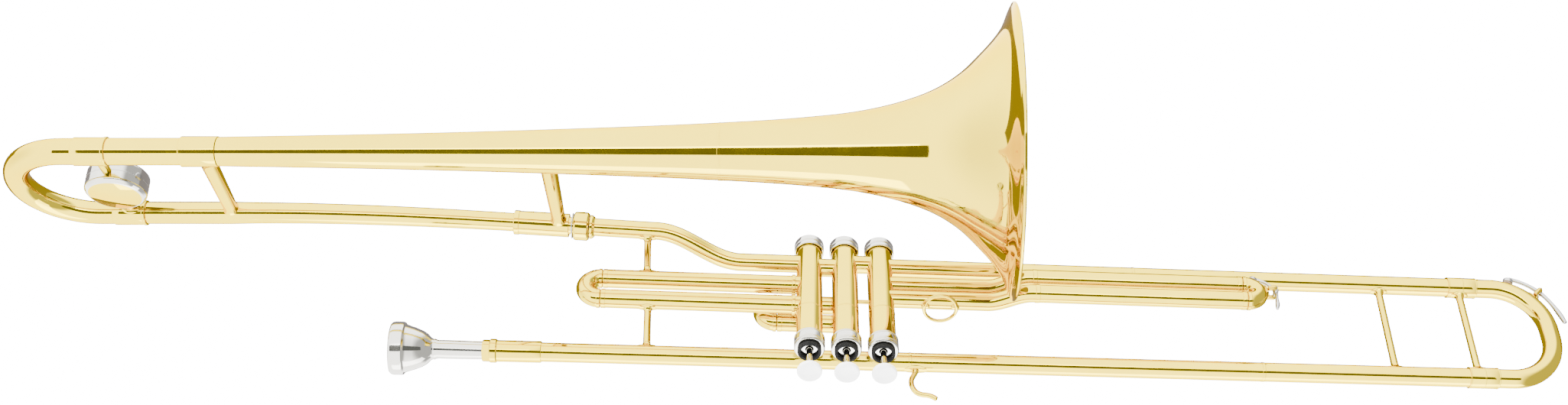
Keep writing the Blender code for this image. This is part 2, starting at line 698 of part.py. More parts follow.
def front_water_key():
    """A lever round the front bow's lower bend, with a cork over the drain hole."""
    reach = FRONT_CORNER + MAIN_RADIUS
    stations = [(20.0, 6.0), (29.0, 6.8), (38.0, 7.4), (47.0, KEY_OFFSET), (55.0, 7.4), (64.0, 7.0), (73.0, 7.0),
                (82.0, 7.6)]
    points = [low_corner + front_bow_outward(angle) * (reach + offset) for angle, offset in stations]
    rod("front_key_lever", points, [1.6, KEY_WIRE, KEY_WIRE, 1.6, KEY_WIRE, KEY_WIRE, 1.5, 1.2], SILVER,
        front_key_empty)
    outward = front_bow_outward(FRONT_KEY_CORK)
    cork = [(0.0, 3.9), (2.9, 3.9), (2.9, 0.4), (0.0, 0.4)]
    turned("front_key_cork", cork, low_corner + outward * reach, outward, CORK, front_key_empty, sides=12)


def third_bow_frame():
    """Centre and upward direction of the third slide's bow."""
    lower = Vector((0.0, *THIRD_FAR[0]))
    upper = Vector((0.0, *THIRD_FAR[1]))
    centre = (lower + upper) / 2.0 + X_AXIS * (THIRD_END + 0.65)
    return centre, (upper - lower).normalized(), (upper - lower).length / 2.0


def slide_water_key():
    """The same kind of key on the third slide's bow; it travels with the slide."""
    centre, up, radius = third_bow_frame()
    reach = radius + SLIDE_RADIUS
    points = []
    for angle, offset in ((-62.0, 5.4), (-44.0, 6.2), (-24.0, 6.6), (-6.0, 6.6), (14.0, 6.4), (32.0, 8.4), (44.0, 11.0)):
        outward = X_AXIS * cos(radians(angle)) + up * sin(radians(angle))
        points.append(centre + outward * (reach + offset))
    rod("slide_key_lever", points, [1.5, 1.2, 1.2, 1.5, 1.2, 1.4, 1.1], SILVER, slide_key_empty)
    outward = X_AXIS * cos(radians(-62.0)) + up * sin(radians(-62.0))
    cork = [(0.0, 3.5), (2.6, 3.5), (2.6, 0.4), (0.0, 0.4)]
    turned("slide_key_cork", cork, centre + outward * reach, outward, CORK, slide_key_empty, sides=12)


# ---- build ------------------------------------------------------------------------------------------
clear_scene()
parts = new_collection(PARTS)
cutters = new_collection("cutters")

lock_empty = joint_empty("bell_lock_axis", lock_point)
tuning_empty = joint_empty("tuning_slide_axis", on_bell(-LEG_END))
mouthpiece_empty = joint_empty("mouthpiece_axis", on_mouthpipe(-252.8))
first_empty = joint_empty("first_slide_axis", (FIRST_END, 0, FIRST_LEGS[0]))
second_empty = joint_empty("second_slide_axis", (SECOND_END, SECOND_Y, SECOND_LEGS[0]))
third_empty = joint_empty("third_slide_axis", (THIRD_END, *THIRD_FAR[0]))

front_key_reach = FRONT_CORNER + MAIN_RADIUS + KEY_OFFSET
front_key_empty = joint_empty(
    "front_key_axis", low_corner + front_bow_outward(FRONT_KEY_PIVOT) * front_key_reach)

third_centre, third_up, third_radius = third_bow_frame()
slide_key_out = X_AXIS * cos(radians(-6.0)) + third_up * sin(radians(-6.0))
slide_key_empty = joint_empty(
    "slide_key_axis", third_centre + slide_key_out * (third_radius + SLIDE_RADIUS + 6.6), third_empty)

bell()
bell_tail_tube()
neckpipe()
bell_braces()
bell_lock_nut()
tuning_slide()
counterweight()
counterweight_post()
gooseneck()
valve_knuckles()
for valve in (1, 2, 3):
    valve_empty = joint_empty(f"valve_axis_{valve}", (valve_x(valve), 0, 0))
    valve_casing(valve)
    valve_caps(valve)
    valve_felt(valve)
    valve_piston(valve, valve_empty)
    valve_stem(valve, valve_empty)
    valve_button(valve, valve_empty)
    valve_spring(valve, valve_empty)
first_slide_tubes()
second_slide_tubes()
third_slide_tubes()
slide_loop("first_slide", [(0.0, z) for z in FIRST_LEGS], FIRST_END, 108.0, -1.0, first_empty)
slide_loop("second_slide", [(SECOND_Y, z) for z in SECOND_LEGS], SECOND_END, 36.0, -1.0, second_empty)
slide_loop("third_slide", THIRD_FAR, THIRD_END, 140.0, 1.0, third_empty)
finger_ring()
mouthpiece()
mouthpiece_receiver()
mouthpipe()
return_tube()
front_bow()
main_braces()
pinky_hook()
front_water_key()
slide_water_key()
bpy.context.view_layer.update()
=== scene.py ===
from math import atan2, cos, pi, radians, sin, sqrt

import bmesh
import bpy
import numpy as np
from mathutils import Matrix, Vector


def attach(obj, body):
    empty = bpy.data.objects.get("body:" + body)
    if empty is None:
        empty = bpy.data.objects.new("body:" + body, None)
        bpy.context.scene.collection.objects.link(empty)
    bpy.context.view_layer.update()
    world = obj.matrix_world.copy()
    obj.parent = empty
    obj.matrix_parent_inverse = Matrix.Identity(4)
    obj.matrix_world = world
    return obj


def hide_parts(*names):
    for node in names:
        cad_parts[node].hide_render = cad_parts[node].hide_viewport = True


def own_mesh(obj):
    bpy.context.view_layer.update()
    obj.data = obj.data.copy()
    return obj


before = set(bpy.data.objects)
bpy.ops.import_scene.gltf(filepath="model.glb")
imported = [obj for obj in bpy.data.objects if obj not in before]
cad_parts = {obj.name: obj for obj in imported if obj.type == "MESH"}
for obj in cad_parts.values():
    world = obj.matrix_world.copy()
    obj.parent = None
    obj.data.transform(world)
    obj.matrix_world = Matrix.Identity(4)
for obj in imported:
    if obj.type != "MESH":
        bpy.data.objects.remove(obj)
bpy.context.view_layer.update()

MM = 0.001
X_AXIS = Vector((1.0, 0.0, 0.0))
Y_AXIS = Vector((0.0, 1.0, 0.0))
Z_AXIS = Vector((0.0, 0.0, 1.0))

# ---- camera -----------------------------------------------------------------------------------------
camera_data = bpy.data.cameras.new("camera")
camera_data.sensor_width = 36.0
camera_data.sensor_fit = "HORIZONTAL"
camera_data.lens = 45.62
camera_data.clip_start = 0.05
camera_data.clip_end = 50.0
camera = bpy.data.objects.new("camera", camera_data)
camera_right = Vector((0.99926, 0.03737, -0.00865))
camera_up = Vector((-0.03512, 0.79872, -0.59958))
camera_back = Vector((-0.01551, 0.59880, 0.80029))
CAMERA_PLACE = Vector((-0.068, 0.9025, 1.1294))
camera.matrix_world = Matrix.Translation(CAMERA_PLACE) @ Matrix(
    (camera_right, camera_up, camera_back)).transposed().to_4x4()
bpy.context.scene.collection.objects.link(camera)
bpy.context.scene.camera = camera

# ---- dimensions shared with the solids, in millimetres ----------------------------------------------
rim_centre = Vector((106.7, 128.6, 29.4))
bell_axis = Vector((1.0, 0.0567, 0.0183)).normalized()
lean = radians(24.7)
to_neck = Vector((0.0, -cos(lean), -sin(lean)))
to_neck = (to_neck - bell_axis * to_neck.dot(bell_axis)).normalized()
bell_normal = bell_axis.cross(to_neck).normalized()
if bell_normal.z < 0.0:
    bell_normal.negate()
lock_point = Vector((-197.4, 20.0, -11.7))
lock_axis = Vector((1.0, -0.016, 0.0235)).normalized()
LEG_SPACING = 89.2
VALVE_SPACING = 25.6
TUBE_START = 9.0      # from a casing's axis to the square-cut end of a tube that meets it
CASING_WALL = 8.9     # from the axis to the middle of the casing's wall
BOW_START = 461.0
MOUTHPIPE_Y, MOUTHPIPE_Z, MOUTHPIPE_SLOPE = -18.2, 82.2, -0.0093
MAIN_RADIUS = 6.8
mouthpipe_axis = Vector((1.0, 0.0, MOUTHPIPE_SLOPE)).normalized()
to_mouthpipe = Vector((0.0, MOUTHPIPE_Y, MOUTHPIPE_Z + MOUTHPIPE_SLOPE * BOW_START)).normalized()


def on_bell(along, across=0.0, out=0.0):
    return rim_centre + bell_axis * along + to_neck * across + bell_normal * out


def on_mouthpipe(x):
    return Vector((x, MOUTHPIPE_Y, MOUTHPIPE_Z + MOUTHPIPE_SLOPE * x))


def lock_line(x):
    return lock_point + lock_axis * ((x - lock_point.x) / lock_axis.x)


# ---- materials --------------------------------------------------------------------------------------
def set_sockets(shader, values):
    for name, value in values.items():
        shader.inputs[name].default_value = value


def metal(name, light, dark, rough_low, rough_high, edge=(1.0, 1.0, 1.0), patch=14.0, scratch=0.02):
    """Polished metal: slow colour drift, uneven polish and hairline buffing marks."""
    material = bpy.data.materials.new(name)
    material.use_nodes = True
    nodes, links = material.node_tree.nodes, material.node_tree.links
    shader = nodes["Principled BSDF"]
    set_sockets(shader, {"Metallic": 1.0, "Specular Tint": (*edge, 1.0)})
    place = nodes.new("ShaderNodeTexCoord")
    drift = nodes.new("ShaderNodeTexNoise")
    set_sockets(drift, {"Scale": patch, "Detail": 3.0, "Roughness": 0.55})
    ramp = nodes.new("ShaderNodeValToRGB")
    ramp.color_ramp.elements[0].position = 0.32
    ramp.color_ramp.elements[0].color = (*dark, 1.0)
    ramp.color_ramp.elements[1].position = 0.68
    ramp.color_ramp.elements[1].color = (*light, 1.0)
    polish = nodes.new("ShaderNodeTexNoise")
    set_sockets(polish, {"Scale": 90.0, "Detail": 4.0})
    spread = nodes.new("ShaderNodeMapRange")
    set_sockets(spread, {"From Min": 0.3, "From Max": 0.7, "To Min": rough_low, "To Max": rough_high})
    stretch = nodes.new("ShaderNodeMapping")
    stretch.inputs["Scale"].default_value = (25.0, 900.0, 900.0)
    hair = nodes.new("ShaderNodeTexNoise")
    set_sockets(hair, {"Scale": 1.0, "Detail": 2.0})
    bump = nodes.new("ShaderNodeBump")
    set_sockets(bump, {"Strength": scratch, "Distance": 0.0001})
    links.new(place.outputs["Object"], drift.inputs["Vector"])
    links.new(place.outputs["Object"], polish.inputs["Vector"])
    links.new(place.outputs["Object"], stretch.inputs["Vector"])
    links.new(stretch.outputs["Vector"], hair.inputs["Vector"])
    links.new(drift.outputs["Fac"], ramp.inputs["Fac"])
    links.new(ramp.outputs["Color"], shader.inputs["Base Color"])
    links.new(polish.outputs["Fac"], spread.inputs["Value"])
    links.new(spread.outputs["Result"], shader.inputs["Roughness"])
    links.new(hair.outputs["Fac"], bump.inputs["Height"])
    links.new(bump.outputs["Normal"], shader.inputs["Normal"])
    return material


def plain(name, light, dark, roughness, scale, bump_strength, specular=0.5, coat=0.0):
    """Non-metals: felt, cork and the finger plates, with a grain of their own."""
    material = bpy.data.materials.new(name)
    material.use_nodes = True
    nodes, links = material.node_tree.nodes, material.node_tree.links
    shader = nodes["Principled BSDF"]
    set_sockets(shader, {"Roughness": roughness, "Specular IOR Level": specular, "Coat Weight": coat,
                         "Coat Roughness": 0.05})
    place = nodes.new("ShaderNodeTexCoord")
    grain = nodes.new("ShaderNodeTexNoise")
    set_sockets(grain, {"Scale": scale, "Detail": 6.0, "Roughness": 0.65})
    ramp = nodes.new("ShaderNodeValToRGB")
    ramp.color_ramp.elements[0].position = 0.35
    ramp.color_ramp.elements[0].color = (*dark, 1.0)
    ramp.color_ramp.elements[1].position = 0.65
    ramp.color_ramp.elements[1].color = (*light, 1.0)
    bump = nodes.new("ShaderNodeBump")
    set_sockets(bump, {"Strength": bump_strength, "Distance": 0.0003})
    links.new(place.outputs["Object"], grain.inputs["Vector"])
    links.new(grain.outputs["Fac"], ramp.inputs["Fac"])
    links.new(ramp.outputs["Color"], shader.inputs["Base Color"])
    links.new(grain.outputs["Fac"], bump.inputs["Height"])
    links.new(bump.outputs["Normal"], shader.inputs["Normal"])
    return material


BRASS = metal("lacquered_brass", (0.72, 0.545, 0.022), (0.69, 0.51, 0.018), 0.03, 0.07, (1.0, 0.80, 0.40))
BRASS_DARK = metal("brass_fitting", (0.64, 0.45, 0.02), (0.56, 0.38, 0.015), 0.08, 0.16, (1.0, 0.80, 0.40))
SILVER = metal("silver_plate", (0.56, 0.55, 0.50), (0.50, 0.49, 0.44), 0.05, 0.12)
KEY_METAL = metal("key_nickel", (0.46, 0.455, 0.44), (0.36, 0.355, 0.34), 0.18, 0.30)
PISTON = metal("piston_nickel", (0.62, 0.62, 0.63), (0.52, 0.52, 0.54), 0.16, 0.28)
PEARL = plain("finger_plate", (0.86, 0.86, 0.84), (0.78, 0.78, 0.77), 0.22, 60.0, 0.02, coat=0.5)
FELT = plain("black_felt", (0.010, 0.010, 0.010), (0.004, 0.004, 0.004), 1.0, 900.0, 0.5, specular=0.1)
CORK = plain("key_cork", (0.30, 0.20, 0.12), (0.10, 0.065, 0.04), 0.85, 420.0, 0.4)


# ---- mesh builders ----------------------------------------------------------------------------------
def new_piece(name, vertices, faces, material, sharp=38.0):
    mesh = bpy.data.meshes.new(name)
    mesh.from_pydata([tuple(Vector(v) * MM) for v in vertices], [], faces)
    mesh.validate()
    mesh.materials.append(material)
    mesh.shade_smooth()
    mesh.set_sharp_from_angle(angle=radians(sharp))
    obj = bpy.data.objects.new("fine_" + name, mesh)
    bpy.context.scene.collection.objects.link(obj)
    return obj


def mount_piece(obj, body, nodes=()):
    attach(obj, body)
    if nodes:
        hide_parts(*([nodes] if isinstance(nodes, str) else nodes))
    return obj


def transported(points, closed=False):
    """A tangent and a non-twisting pair of normals at each point of a path."""
    count = len(points)
    tangents = []
    for i in range(count):
        before = points[(i - 1) % count] if closed else points[max(i - 1, 0)]
        after = points[(i + 1) % count] if closed else points[min(i + 1, count - 1)]
        tangents.append((after - before).normalized())
    first = tangents[0]
    seed = Z_AXIS if abs(first.z) < 0.9 else Y_AXIS
    normal = (seed - first * seed.dot(first)).normalized()
    result = []
    for i, tangent in enumerate(tangents):
        if i:
            normal = tangents[i - 1].rotation_difference(tangent) @ normal
            normal = (normal - tangent * normal.dot(tangent)).normalized()
        result.append((tangent, normal, tangent.cross(normal)))
    return result


def ring_faces(rings, sides, wrap):
    faces = []
    spans = rings if wrap else rings - 1
    for i in range(spans):
        a, b = i * sides, ((i + 1) % rings) * sides
        for j in range(sides):
            k = (j + 1) % sides
            faces.append((a + j, a + k, b + k, b + j))
    return faces


def tube(name, points, radii, material, wall=0.6, sides=36):
    """A swept tube with its bore, open at both ends."""
    points = [Vector(p) for p in points]
    if not isinstance(radii, (list, tuple)):
        radii = [radii] * len(points)
    frames = transported(points)
    outside = list(enumerate(radii))
    rows = outside + [(i, radius - wall) for i, radius in reversed(outside)]
    vertices = []
    for i, radius in rows:
        _, normal, binormal = frames[i]
        for j in range(sides):
            angle = 2.0 * pi * j / sides
            vertices.append(points[i] + (normal * cos(angle) + binormal * sin(angle)) * radius)
    return new_piece(name, vertices, ring_faces(len(rows), sides, True), material)


def rod(name, points, radii, material, sides=20, blunt=0.45):
    """A solid swept wire whose ends are rounded over."""
    points = [Vector(p) for p in points]
    if not isinstance(radii, (list, tuple)):
        radii = [radii] * len(points)
    radii = list(radii)
    if blunt:
        head = (points[1] - points[0]).normalized()
        tail = (points[-2] - points[-1]).normalized()
        r0, r1 = radii[0] * blunt, radii[-1] * blunt
        start = [(points[0] + head * r0 * (1 - cos(a)), radii[0] - r0 * (1 - sin(a))) for a in (0.0, 0.5, 1.0)]
        stop = [(points[-1] + tail * r1 * (1 - cos(a)), radii[-1] - r1 * (1 - sin(a))) for a in (1.0, 0.5, 0.0)]
        points = [p for p, _ in start] + [points[0] + head * r0, *points[1:-1], points[-1] + tail * r1]
        points += [p for p, _ in stop]
        radii = [r for _, r in start] + radii + [r for _, r in stop]
    frames = transported(points)
    vertices = []
    for i, point in enumerate(points):
        _, normal, binormal = frames[i]
        for j in range(sides):
            angle = 2.0 * pi * j / sides
            vertices.append(point + (normal * cos(angle) + binormal * sin(angle)) * radii[i])
    faces = ring_faces(len(points), sides, False)
    faces.append(tuple(reversed(range(sides))))
    faces.append(tuple((len(points) - 1) * sides + j for j in range(sides)))
    return new_piece(name, vertices, faces, material)


def ring_wire(name, points, radius, material, sides=16):
    """A closed loop of round wire."""
    points = [Vector(p) for p in points]
    frames = transported(points, closed=True)
    vertices = []
    for point, (_, normal, binormal) in zip(points, frames):
        for j in range(sides):
            angle = 2.0 * pi * j / sides
            vertices.append(point + (normal * cos(angle) + binormal * sin(angle)) * radius)
    return new_piece(name, vertices, ring_faces(len(points), sides, True), material)


def soften(profile, size, steps=3):
    """Round every corner of a closed profile by a small fillet."""
    corners = [Vector((r, h)) for r, h in profile]
    result = []
    for i, corner in enumerate(corners):
        before = corners[i - 1] - corner
        after = corners[(i + 1) % len(corners)] - corner
        if before.length < 1e-6 or after.length < 1e-6:
            continue
        turn = before.angle(after)
        if turn > radians(160.0):
            result.append((corner.x, corner.y))
            continue
        a = corner + before.normalized() * min(size, before.length * 0.45)
        b = corner + after.normalized() * min(size, after.length * 0.45)
        for k in range(steps + 1):
            t = k / steps
            p = a * (1 - t) ** 2 + corner * 2 * t * (1 - t) + b * t ** 2
            result.append((p.x, p.y))
    return result


def lathe(name, profile, place, direction, material, sides=72, sharp=38.0):
    """Turn a closed (radius, height) loop, outside running downwards, about an axis."""
    axis = Vector(direction).normalized()
    side = axis.orthogonal().normalized()
    other = axis.cross(side)
    origin = Vector(place)
    vertices = []
    for radius, height in profile:
        for j in range(sides):
            angle = 2.0 * pi * j / sides
            vertices.append(origin + axis * height + (side * cos(angle) + other * sin(angle)) * max(radius, 0.0))
    faces = [tuple(reversed(face)) for face in ring_faces(len(profile), sides, True)]
    return new_piece(name, vertices, faces, material, sharp)


def solid_lathe(name, profile, place, direction, material, sides=48, sharp=38.0):
    """A turned solid: the profile starts and ends on the axis."""
    axis = Vector(direction).normalized()
    side = axis.orthogonal().normalized()
    other = axis.cross(side)
    origin = Vector(place)
    top, *middle, bottom = profile
    vertices = [origin + axis * top[1]]
    for radius, height in middle:
        for j in range(sides):
            angle = 2.0 * pi * j / sides
            vertices.append(origin + axis * height + (side * cos(angle) + other * sin(angle)) * radius)
    vertices.append(origin + axis * bottom[1])
    faces = []
    for j in range(sides):
        faces.append((0, 1 + j, 1 + (j + 1) % sides))
    for i in range(len(middle) - 1):
        a, b = 1 + i * sides, 1 + (i + 1) * sides
        for j in range(sides):
            k = (j + 1) % sides
            faces.append((a + k, a + j, b + j, b + k))
    last = len(vertices) - 1
    base = 1 + (len(middle) - 1) * sides
    for j in range(sides):
        faces.append((last, base + (j + 1) % sides, base + j))
    return new_piece(name, vertices, faces, material, sharp)


def saddle(name, centre, axis, towards, radius, half_length, half_width, material, thick=0.7):
    """A thin oval flange bent round a tube, under the foot of a brace."""
    axis = axis.normalized()
    towards = (towards - axis * towards.dot(axis)).normalized()
    side = axis.cross(towards)
    rings, spokes = 6, 40
    vertices = []
    for layer in (0.0, 1.0):
        for i in range(rings + 1):
            share = i / rings
            edge = 1.0 - max(0.0, share - 0.75) * 2.0
            height = -0.5 + (thick * edge + 0.5) * layer
            for j in range(spokes):
                angle = 2.0 * pi * j / spokes
                along = half_length * share * cos(angle)
                bend = half_width * share * sin(angle) / radius
                out = towards * cos(bend) + side * sin(bend)
                vertices.append(centre + axis * along + out * (radius + height))
    count = rings + 1
    faces = []
    for i in range(rings):
        for j in range(spokes):
            k = (j + 1) % spokes
            a, b = i * spokes, (i + 1) * spokes
            faces.append((a + j, b + j, b + k, a + k))
            a, b = a + count * spokes, b + count * spokes
            faces.append((a + k, b + k, b + j, a + j))
    outer, upper = rings * spokes, rings * spokes + count * spokes
    for j in range(spokes):
        k = (j + 1) % spokes
        faces.append((outer + k, outer + j, upper + j, upper + k))
    obj = new_piece(name, vertices, faces, material, 60.0)
    turn_outward(obj, weld=0.02 * MM)
    return obj


def turn_outward(obj, weld=0.0):
    """Face normals outwards, after joining vertices closer than weld metres."""
    mesh = bmesh.new()
    mesh.from_mesh(obj.data)
    if weld:
        bmesh.ops.remove_doubles(mesh, verts=mesh.verts, dist=weld)
    bmesh.ops.recalc_face_normals(mesh, faces=mesh.faces)
    mesh.to_mesh(obj.data)
    mesh.free()


# ---- paths ------------------------------------------------------------------------------------------
def arc(centre, start, side, radius, sweep, steps):
    centre = Vector(centre)
    angles = [sweep * i / steps for i in range(steps + 1)]
    return [centre + (start * cos(a) + side * sin(a)) * radius for a in angles]


def hermite(start, start_slope, end, end_slope, steps):
    start, end = Vector(start), Vector(end)
    reach = (end - start).length
    slope_a = Vector(start_slope).normalized() * reach
    slope_b = Vector(end_slope).normalized() * reach
    points = []
    for i in range(steps + 1):
        t = i / steps
        points.append(start * (2 * t ** 3 - 3 * t ** 2 + 1) + slope_a * (t ** 3 - 2 * t ** 2 + t)
                      + end * (-2 * t ** 3 + 3 * t ** 2) + slope_b * (t ** 3 - t ** 2))
    return points


def s_bend(start, end, steps):
    start, end = Vector(start), Vector(end)
    points = []
    for i in range(steps + 1):
        t = i / steps
        across = start.lerp(end, (1.0 - cos(pi * t)) / 2.0)
        points.append(Vector((start.x + (end.x - start.x) * t, across.y, across.z)))
    return points


def through(points, steps=6):
    """A smooth curve through given points."""
    points = [Vector(p) for p in points]
    padded = [points[0] * 2 - points[1], *points, points[-1] * 2 - points[-2]]
    result = []
    for i in range(1, len(padded) - 2):
        a, b, c, d = padded[i - 1:i + 3]
        for k in range(steps):
            t = k / steps
            result.append((b * 2 + (c - a) * t + (a * 2 - b * 5 + c * 4 - d) * t ** 2
                           + (b * 3 - a - c * 3 + d) * t ** 3) * 0.5)
    result.append(points[-1])
    return result


def smooth_values(values, steps=6):
    line = through([(v, 0.0, 0.0) for v in values], steps)
    return [p.x for p in line]


def band(name, centre, axis, radius, half, material, body, proud=0.5):
    """A narrow raised ring round a tube."""
    profile = soften([(radius + proud, half), (radius + proud, -half), (radius - 0.4, -half), (radius - 0.4, half)],
                     0.3)
    return mount_piece(lathe(name, profile, centre, axis, material, 48), body, ())


# ---- bell section -----------------------------------------------------------------------------------
BELL_LENGTH = 543.4
MANDREL = ((0.0, 101.6), (3.0, 96.8), (8.0, 84.5), (14.0, 76.0), (24.0, 65.0), (36.0, 53.5), (52.0, 43.2),
           (75.0, 34.4), (105.0, 27.6), (145.0, 23.2), (210.0, 19.3), (300.0, 15.8), (420.0, 12.4),
           (BELL_LENGTH, 10.2))
LEG_END = 620.3
TUNING_REACH = 58.0
BOW_CENTRE = 653.8
BOW_RADIUS = LEG_SPACING / 2.0


def bell_outline():
    """The mandrel's curve, in the square root of distance so that the flare is sampled finely."""
    roots = np.sqrt([d for d, _ in MANDREL])
    widths = np.array([r for _, r in MANDREL])
    slopes = np.gradient(widths, roots)
    outline = []
    for i in range(len(roots) - 1):
        span = roots[i + 1] - roots[i]
        for k in range(8):
            t = k / 8
            width = (widths[i] * (2 * t ** 3 - 3 * t ** 2 + 1) + slopes[i] * span * (t ** 3 - 2 * t ** 2 + t)
                     + widths[i + 1] * (-2 * t ** 3 + 3 * t ** 2) + slopes[i + 1] * span * (t ** 3 - t ** 2))
            outline.append(Vector((width, -(roots[i] + span * t) ** 2)))
    outline.append(Vector((widths[-1], -BELL_LENGTH)))
    return outline


outline = bell_outline()


def bell_radius(distance):
    for near, far in zip(outline, outline[1:]):
        if -near.y <= distance <= -far.y:
            share = (distance + near.y) / (near.y - far.y)
            return near.x + (far.x - near.x) * share
    return outline[-1].x


def make_bell():
    inner = []
    for i in range(1, len(outline) - 1):
        along = (outline[i + 1] - outline[i - 1]).normalized()
        inner.append(outline[i] + Vector((along.y, -along.x)) * 0.7)
    bead = [Vector((100.45 + 1.15 * cos(radians(a)), 0.05 + 1.15 * sin(radians(a)))) for a in range(200, -61, -20)]
    body = [p for p in outline if p.y < -1.6]
    lining = [p for p in reversed(inner) if p.y < -1.6]
    tail = [Vector((outline[-1].x - 0.7, outline[-1].y))]
    profile = [(p.x, p.y) for p in body + tail + lining + bead]
    obj = lathe("bell", profile, rim_centre, bell_axis, BRASS, 144)
    mount_piece(obj, "bell_section", "bell")
    band("bell_joint_band", on_bell(-199.0), bell_axis, bell_radius(199.0), 0.9, BRASS, "bell_section", proud=0.15)


def make_tail():
    start = BELL_LENGTH + 26.0
    obj = tube("bell_tail_tube", [on_bell(-LEG_END + 0.35), on_bell(-start - 0.6), on_bell(-start)], 9.6, BRASS)
    mount_piece(obj, "bell_section", "bell_tail_tube")
    sleeve = soften([(10.7, 12.8), (10.7, -12.8), (9.0, -12.8), (9.0, 12.8)], 0.6)
    mount_piece(lathe("bell_tail_ferrule", sleeve, on_bell(-BELL_LENGTH - 13.2), bell_axis, BRASS, 64),
                "bell_section", ())


NECK_REAR = 7.8
NECK_FRONT = 6.7


def make_neckpipe():
    straight_end = on_bell(-540.0, LEG_SPACING)
    sleeve_start = lock_point - lock_axis * 42.5
    bend = hermite(straight_end, bell_axis, sleeve_start, lock_axis, 30)
    radii = [8.2, 8.2, NECK_REAR]
    radii += [NECK_REAR + (NECK_FRONT - NECK_REAR) * i / 30 for i in range(1, 31)]
    points = [on_bell(-LEG_END + 0.35, LEG_SPACING), on_bell(-558.0, LEG_SPACING), *bend]
    points += [lock_point + lock_axis * 10.6]
    radii += [6.2]
    mount_piece(tube("neckpipe", points, radii, BRASS), "bell_section", "neckpipe")
    sleeve = soften([(8.6, 19.0), (8.6, -19.0), (5.8, -19.0), (5.8, 19.0)], 0.5)
    mount_piece(lathe("neckpipe_sleeve", sleeve, lock_point - lock_axis * 22.0, lock_axis, BRASS, 56),
                "bell_section", ())
    collar = soften([(8.95, 2.0), (8.95, -2.0), (7.5, -2.0), (7.5, 2.0)], 0.6)
    mount_piece(lathe("neckpipe_collar", collar, lock_point - lock_axis * 40.9, lock_axis, BRASS, 56),
                "bell_section", ())


def make_bell_brace(name, along_bell, foot, neck_radius):
    top = on_bell(-along_bell)
    line = (foot - top).normalized()
    start = top + line * (bell_radius(along_bell) - 0.6)
    stop = foot - line * (neck_radius - 0.6)
    if along_bell > BELL_LENGTH:
        start = top + line * 10.2
    length = (stop - start).length
    radii, points = [], []
    for i in range(25):
        t = i / 24
        waist = 5.9 - 0.9 * t
        near, far = t * length, (1 - t) * length
        flare = 0.9 * max(0.0, 1 - near / 3.0) ** 2 + 0.9 * max(0.0, 1 - far / 3.0) ** 2
        points.append(start.lerp(stop, t))
        radii.append(waist + flare)
    mount_piece(rod(name, points, radii, BRASS, 32, 0.0), "bell_section", name)


def make_lock_nut():
    profile = soften([(9.3, 11.4), (10.4, 10.0), (10.4, 1.6), (9.6, 0.4), (7.0, 0.4), (7.0, 11.4)], 0.5)
    obj = lathe("bell_lock_nut", profile, lock_point, lock_axis, BRASS, 96)
    # Fine straight knurling in two bands round the nut.
    side = lock_axis.orthogonal().normalized()
    for vertex in obj.data.vertices:
        local = vertex.co / MM - lock_point
        height = local.dot(lock_axis)
        out = local - lock_axis * height
        if out.length > 10.2 and (2.0 < height < 4.2 or 7.6 < height < 9.6):
            angle = atan2(out.dot(lock_axis.cross(side)), out.dot(side))
            vertex.co -= out.normalized() * (0.18 * (1 + cos(angle * 48)) / 2 * MM)
    mount_piece(obj, "lock_nut", "bell_lock_nut")
    seal = soften([(9.2, 0.9), (9.2, 0.0), (6.9, 0.0), (6.9, 0.9)], 0.2)
    mount_piece(lathe("lock_washer", seal, lock_point - lock_axis * 1.2, lock_axis, KEY_METAL, 48),
                "bell_section", ())


# ---- tuning slide -----------------------------------------------------------------------------------
WEIGHT_ALONG = 630.5


def make_tuning_slide():
    bow = arc(on_bell(-BOW_CENTRE, BOW_RADIUS), -to_neck, -bell_axis, BOW_RADIUS, pi, 48)
    points = [on_bell(-LEG_END + TUNING_REACH), on_bell(-LEG_END - 0.35), on_bell(-LEG_END - 0.65)]
    radii = [8.85, 8.85, 9.5]
    points += bow
    radii += [9.4 - 1.1 * i / 48 for i in range(49)]
    points += [on_bell(-LEG_END - 0.65, LEG_SPACING), on_bell(-LEG_END - 0.35, LEG_SPACING),
               on_bell(-LEG_END + TUNING_REACH, LEG_SPACING)]
    radii += [8.3, 7.4, 7.4]
    mount_piece(tube("tuning_slide", points, radii, BRASS), "tuning_slide", "tuning_slide")
    for name, across, radius in (("tuning_ferrule_upper", 0.0, 10.0), ("tuning_ferrule_lower", LEG_SPACING, 8.9)):
        half = 11.8
        sleeve = soften([(radius, half), (radius, -half), (radius - 1.5, -half), (radius - 1.5, half)], 0.5)
        mount_piece(lathe(name, sleeve, on_bell(-LEG_END - 0.35 - half, across), bell_axis, BRASS, 64),
                    "tuning_slide", ())
        band(name + "_ring", on_bell(-LEG_END - 1.6, across), bell_axis, radius, 1.0, BRASS, "tuning_slide",
             proud=0.35)


